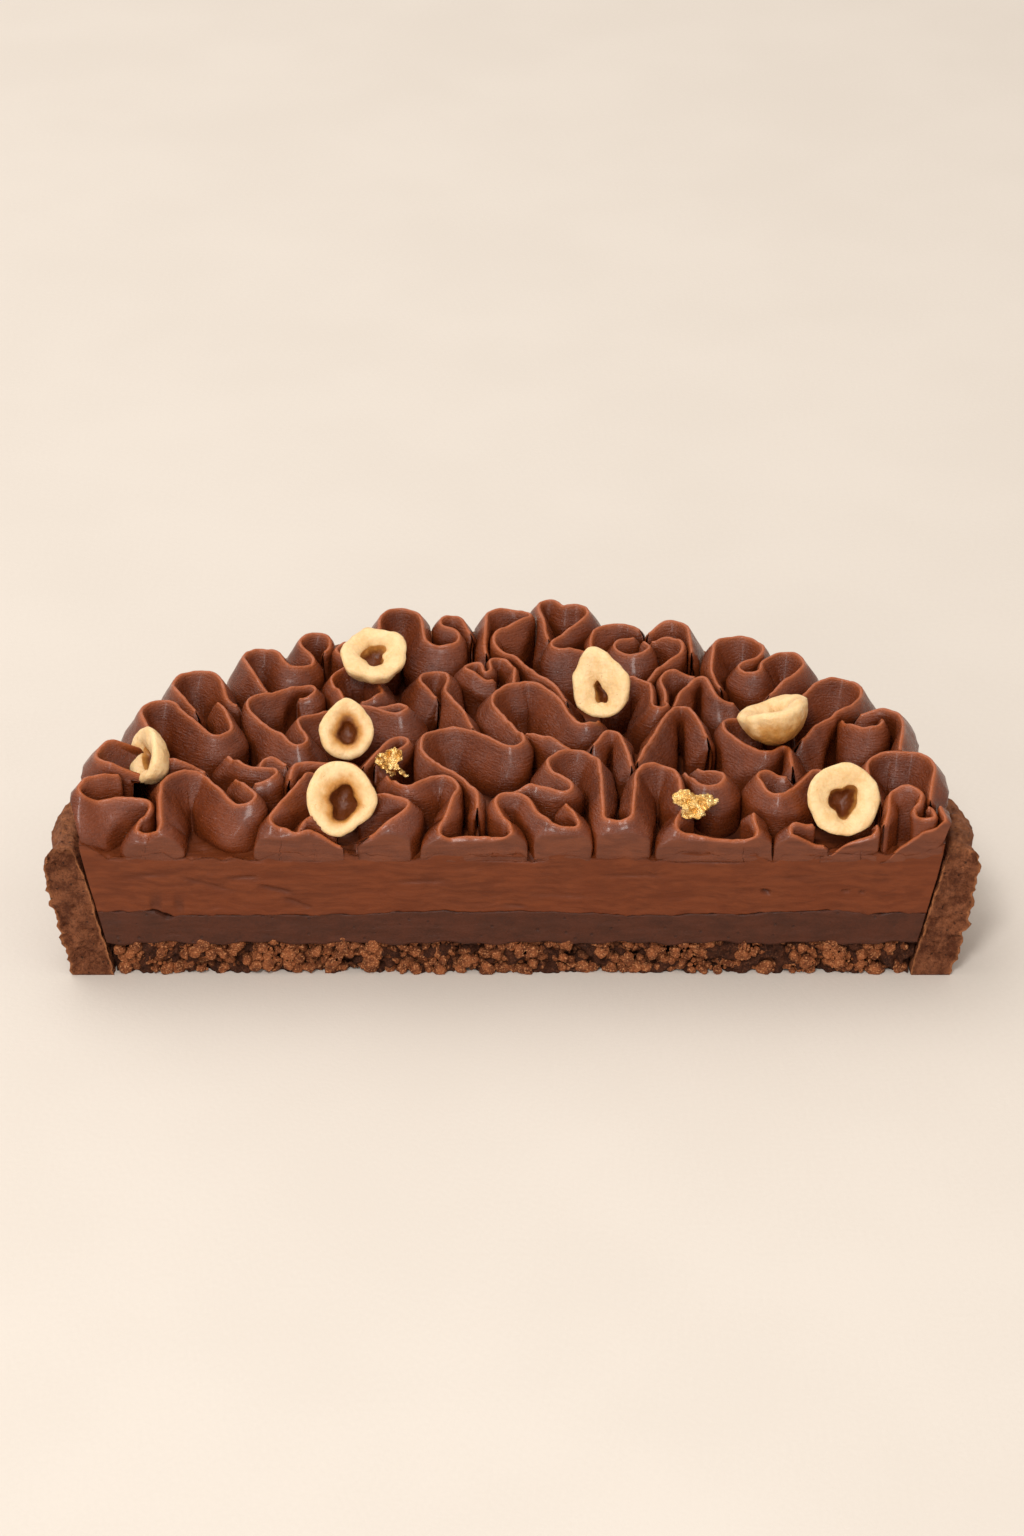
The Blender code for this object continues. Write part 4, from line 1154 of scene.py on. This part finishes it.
def make_hazelnut(number, placing, shape):
    """A hazelnut half, from its round back over the rim, across the cut face and into the hollow."""
    middle, axes = nut_frame(placing)
    _, _, width, length, depth, point, _ = placing
    hollow_wide, hollow_long, hollow_deep, corners, sharp, turn, *outline_and_toast = shape
    lobed, lobes, lobe_turn, off, toast, baked = outline_and_toast
    segments, backs, lips, falls = 72, 20, 12, 16
    angle = np.linspace(0, math.tau, segments, endpoint=False)
    outline = polar_lobes(angle, lobes, lobed, lobe_turn) * polar_lobes(angle, 2 * lobes + 1, lobed * 0.35,
        2 * lobe_turn)
    drawn = 1 + point * np.clip(np.sin(angle), 0, 1) ** 3
    rim_x = width * np.cos(angle) * outline * (1 - point * 0.5 * np.clip(np.sin(angle), 0, 1))
    rim_y = length * np.sin(angle) * outline * drawn / (1 + point / 2)
    well = polar_lobes(angle, corners, sharp, turn)
    well_x = width * (off[0] + hollow_wide * well * np.cos(angle))
    well_y = length * (off[1] + hollow_long * well * np.sin(angle))
    rings, roast_and_shade = [], []
    for share in np.linspace(0, 1, backs + 1)[1:]:
        tip = (1 - share) * math.pi / 2
        grown = math.cos(tip)
        rings.append(np.column_stack([rim_x * grown, rim_y * grown,
            np.full(segments, -depth * math.sin(tip))]))
        roast_and_shade.append(np.full(segments, baked * math.sin(tip) ** 0.5))
    for share in np.linspace(0, 1, lips + 1)[1:]:
        crown = 0.10 * depth * math.sin(math.pi * share**0.6) ** 0.8 - 0.22 * depth * share**3
        x = rim_x * 0.99 + (well_x - rim_x * 0.99) * share
        y = rim_y * 0.99 + (well_y - rim_y * 0.99) * share
        rings.append(np.column_stack([x, y, np.full(segments, crown)]))
        roast_and_shade.append(np.full(segments, 0.02 + toast * 0.5 * share**1.8))
    low = rings[-1][0, 2]
    for share in np.linspace(0, 1, falls + 1)[1:-1]:
        fall = math.sin(share * math.pi / 2)
        narrow = 1 - 0.96 * share**1.9
        x = width * off[0] + (well_x - width * off[0]) * narrow
        y = length * off[1] + (well_y - length * off[1]) * narrow
        rings.append(np.column_stack([x, y, np.full(segments, low - fall * hollow_deep * depth * 0.75)]))
        # Down the hollow the colour darkens with depth: partly toast, partly painted shade in the hollow.
        roast_and_shade.append(np.full(segments, max(0.4, toast * 0.5) + 0.6 * fall))
    local = np.vstack([[(0, 0, -depth)], *rings, [(width * off[0], length * off[1], rings[-1][0, 2])]])
    roast_and_shade = np.concatenate([[0.2], *roast_and_shade, [0.9]])
    local = shaken(local, 4.5, 0.30, 201 + 7 * number, 2)
    local = shaken(local, 1.6, 0.09, 203 + 7 * number, 2)
    points = middle + local @ axes.T
    points[:, 1] = np.maximum(points[:, 1], 0.05)
    faces = grid_faces(len(rings), segments, closed=True, start=1)
    last = len(points) - 1
    beside = np.roll(np.arange(segments), -1)
    caps = [(0, 1 + beside[i], 1 + i) for i in range(segments)]
    caps += [(last, last - segments + i, last - segments + beside[i]) for i in range(segments)]
    name = f"hazelnut_half_{number + 1}"
    piece = make_piece(name, points, faces, HAZELNUT, caps=caps, values={"roast_and_shade": roast_and_shade}, normals=True)
    return finish_piece(piece, "hazelnut", f"hazelnut_{number + 1}")


# Gold leaf flakes: middle, the way each looks, half width, half height, seed, and whether it has a tail.
FLAKES = [
    ((-26.3, 19.2, 42.6), (-0.15, -0.85, 0.5), 2.7, 3.4, 301, True),
    ((38.9, 5.2, 40.6), (0.1, -0.8, 0.6), 4.7, 3.1, 311, False),
]


def make_flake(number, middle, normal, wide, tall, seed, tail):
    """A scrap of gold leaf, torn and crumpled."""
    count = 44
    a, b = np.meshgrid(np.linspace(-1, 1, count), np.linspace(-1, 1, count), indexing="ij")
    flat = np.column_stack([a.ravel(), b.ravel(), 0 * a.ravel()])
    angle = np.arctan2(flat[:, 1], flat[:, 0])
    round_trip = np.column_stack([np.cos(angle), np.sin(angle), 0 * angle]) * 1.5
    reach = 0.77 + 0.12 * rumple(round_trip, 0.8, seed, 3) - 0.15 * np.cos(3 * (angle - math.pi / 2))
    keep = np.hypot(flat[:, 0], flat[:, 1]) < reach
    if tail:
        line = flat[:, 0] - 0.35 + 0.62 * (flat[:, 1] + 0.25)
        keep |= (np.abs(line) < 0.16 + 0.06
            * rumple(flat, 0.2, seed + 9, 1)) & (flat[:, 1] < 0) & (flat[:, 1] > -0.98)
    local = flat * (wide * 1.25, tall * 1.25, 0)
    local[:, 2] = 0.75 * rumple(local, 1.5, seed + 3, 3) + 0.25 * np.abs(rumple(local, 0.7, seed + 5, 2))
    local[:, :2] += 0.25 * np.column_stack([rumple(local, 1.1, seed + 6, 2), rumple(local, 1.1, seed + 8, 2)])
    up = Vector(normal).normalized()
    across = Vector((0, 1, 0)).cross(up).normalized()
    axes = np.array(Matrix((across, up.cross(across), up)).transposed())
    points = np.array(middle) + local @ axes.T
    faces = grid_faces(count, count)
    faces = faces[keep[faces].all(axis=1)]
    used, index = np.unique(faces, return_inverse=True)
    piece = make_piece(f"gold_leaf_{number}", points[used], index.reshape(-1, 4), GOLD)
    thick = piece.modifiers.new("thickness", "SOLIDIFY")
    thick.thickness = 0.06 * MM
    thick.offset = 0.0
    mesh = realised(piece)
    piece.modifiers.clear()
    piece.data = mesh
    return finish_piece(piece, "gold_leaf")


# ---------------------------------------------------------------- studio


LIT_POINT = Vector((0, 0, 0.03))


def make_floor():
    size = 3.0
    mesh = bpy.data.meshes.new("floor")
    mesh.from_pydata([(-size, -size, 0), (size, -size, 0), (size, size, 0), (-size, size, 0)], [],
        [(0, 1, 2, 3)])
    mesh.materials.append(floor_material())
    add_object("floor", mesh)


def make_light(name, place, size, power, colour):
    """A soft square light aimed at the tart."""
    lamp = bpy.data.lights.new(name, "AREA")
    lamp.shape = "RECTANGLE"
    lamp.size, lamp.size_y = size
    lamp.energy = power
    lamp.color = colour
    light = add_object(name, lamp)
    light.location = place
    light.rotation_euler = (LIT_POINT - Vector(place)).to_track_quat("-Z", "Y").to_euler()


def make_studio():
    make_floor()
    world = bpy.data.worlds.new("studio")
    bpy.context.scene.world = world
    world.use_nodes = True
    background = world.node_tree.nodes["Background"]
    background.inputs["Color"].default_value = (1.0, 0.93, 0.85, 1)
    background.inputs["Strength"].default_value = 0.72
    make_light("window", (-0.55, 0.50, 1.1), (1.2, 1.2), 8.0, (1.0, 0.985, 0.955))
    make_light("front_top", (-0.22, -0.85, 1.05), (0.26, 0.26), 7.2, (1.0, 0.985, 0.955))
    make_light("front_low", (-0.45, -1.15, 0.45), (0.16, 0.36), 2.2, (1.0, 0.975, 0.94))
    bpy.context.scene.view_settings.view_transform = "Standard"


def make_camera():
    """Looks across the cut face from in front, a little more than 31 degrees above the table."""
    elevation = math.radians(31.205)
    distance = 0.91195
    target = Vector((0, 0.009848, 0.016))
    lens = bpy.data.cameras.new("camera")
    lens.lens = 93.75
    lens.sensor_width = 36
    camera = add_object("camera", lens)
    back = Vector((0, -math.cos(elevation), math.sin(elevation)))
    camera.location = target + back * distance
    camera.rotation_euler = (-back).to_track_quat("-Z", "Y").to_euler()
    bpy.context.scene.camera = camera


# ---------------------------------------------------------------- the tart

make_camera()
make_studio()
PIPED_CREAM = piped_cream_material()
CUT_CREAM = cut_cream_material()
CRUMB = crumb_material("biscuit_crumb", (0.11, 0.027, 0.008), (0.36, 0.110, 0.037), (0.66, 0.28, 0.115))
# A darker copy of the crumb for the layer's heart, seen only in the gaps between the crumbs: painted shade.
CRUMB_PAINTED_SHADE = crumb_material("biscuit_crumb_painted_shade", (0.030, 0.008, 0.003), (0.075, 0.020, 0.007),
    (0.13, 0.042, 0.016))
HAZELNUT = hazelnut_material()
GOLD = gold_material()

levels, lips = settle_ribbons()
make_crust(crust_material())
make_crumb_layer()
make_filling("dark_ganache_layer", "dark_ganache", ganache_material(), "crumb", "ganache", 420, 20, "ganache",
    87, 0.16)
feet = np.concatenate(levels[0][0])
make_filling("milk_cream_layer", "milk_cream", CUT_CREAM, "ganache", "cream", 520, 44, "cream", 91, 0.16,
    feet)
for ribbon_number, lip in enumerate(lips):
    make_ribbon(ribbon_number, levels, lip, PIPED_CREAM)
for nut_number, (nut_placing, hollow_shape) in enumerate(zip(HAZELNUTS, HOLLOWS)):
    make_hazelnut(nut_number, nut_placing, hollow_shape)
for flake_number, flake in enumerate(FLAKES, 1):
    make_flake(flake_number, *flake)
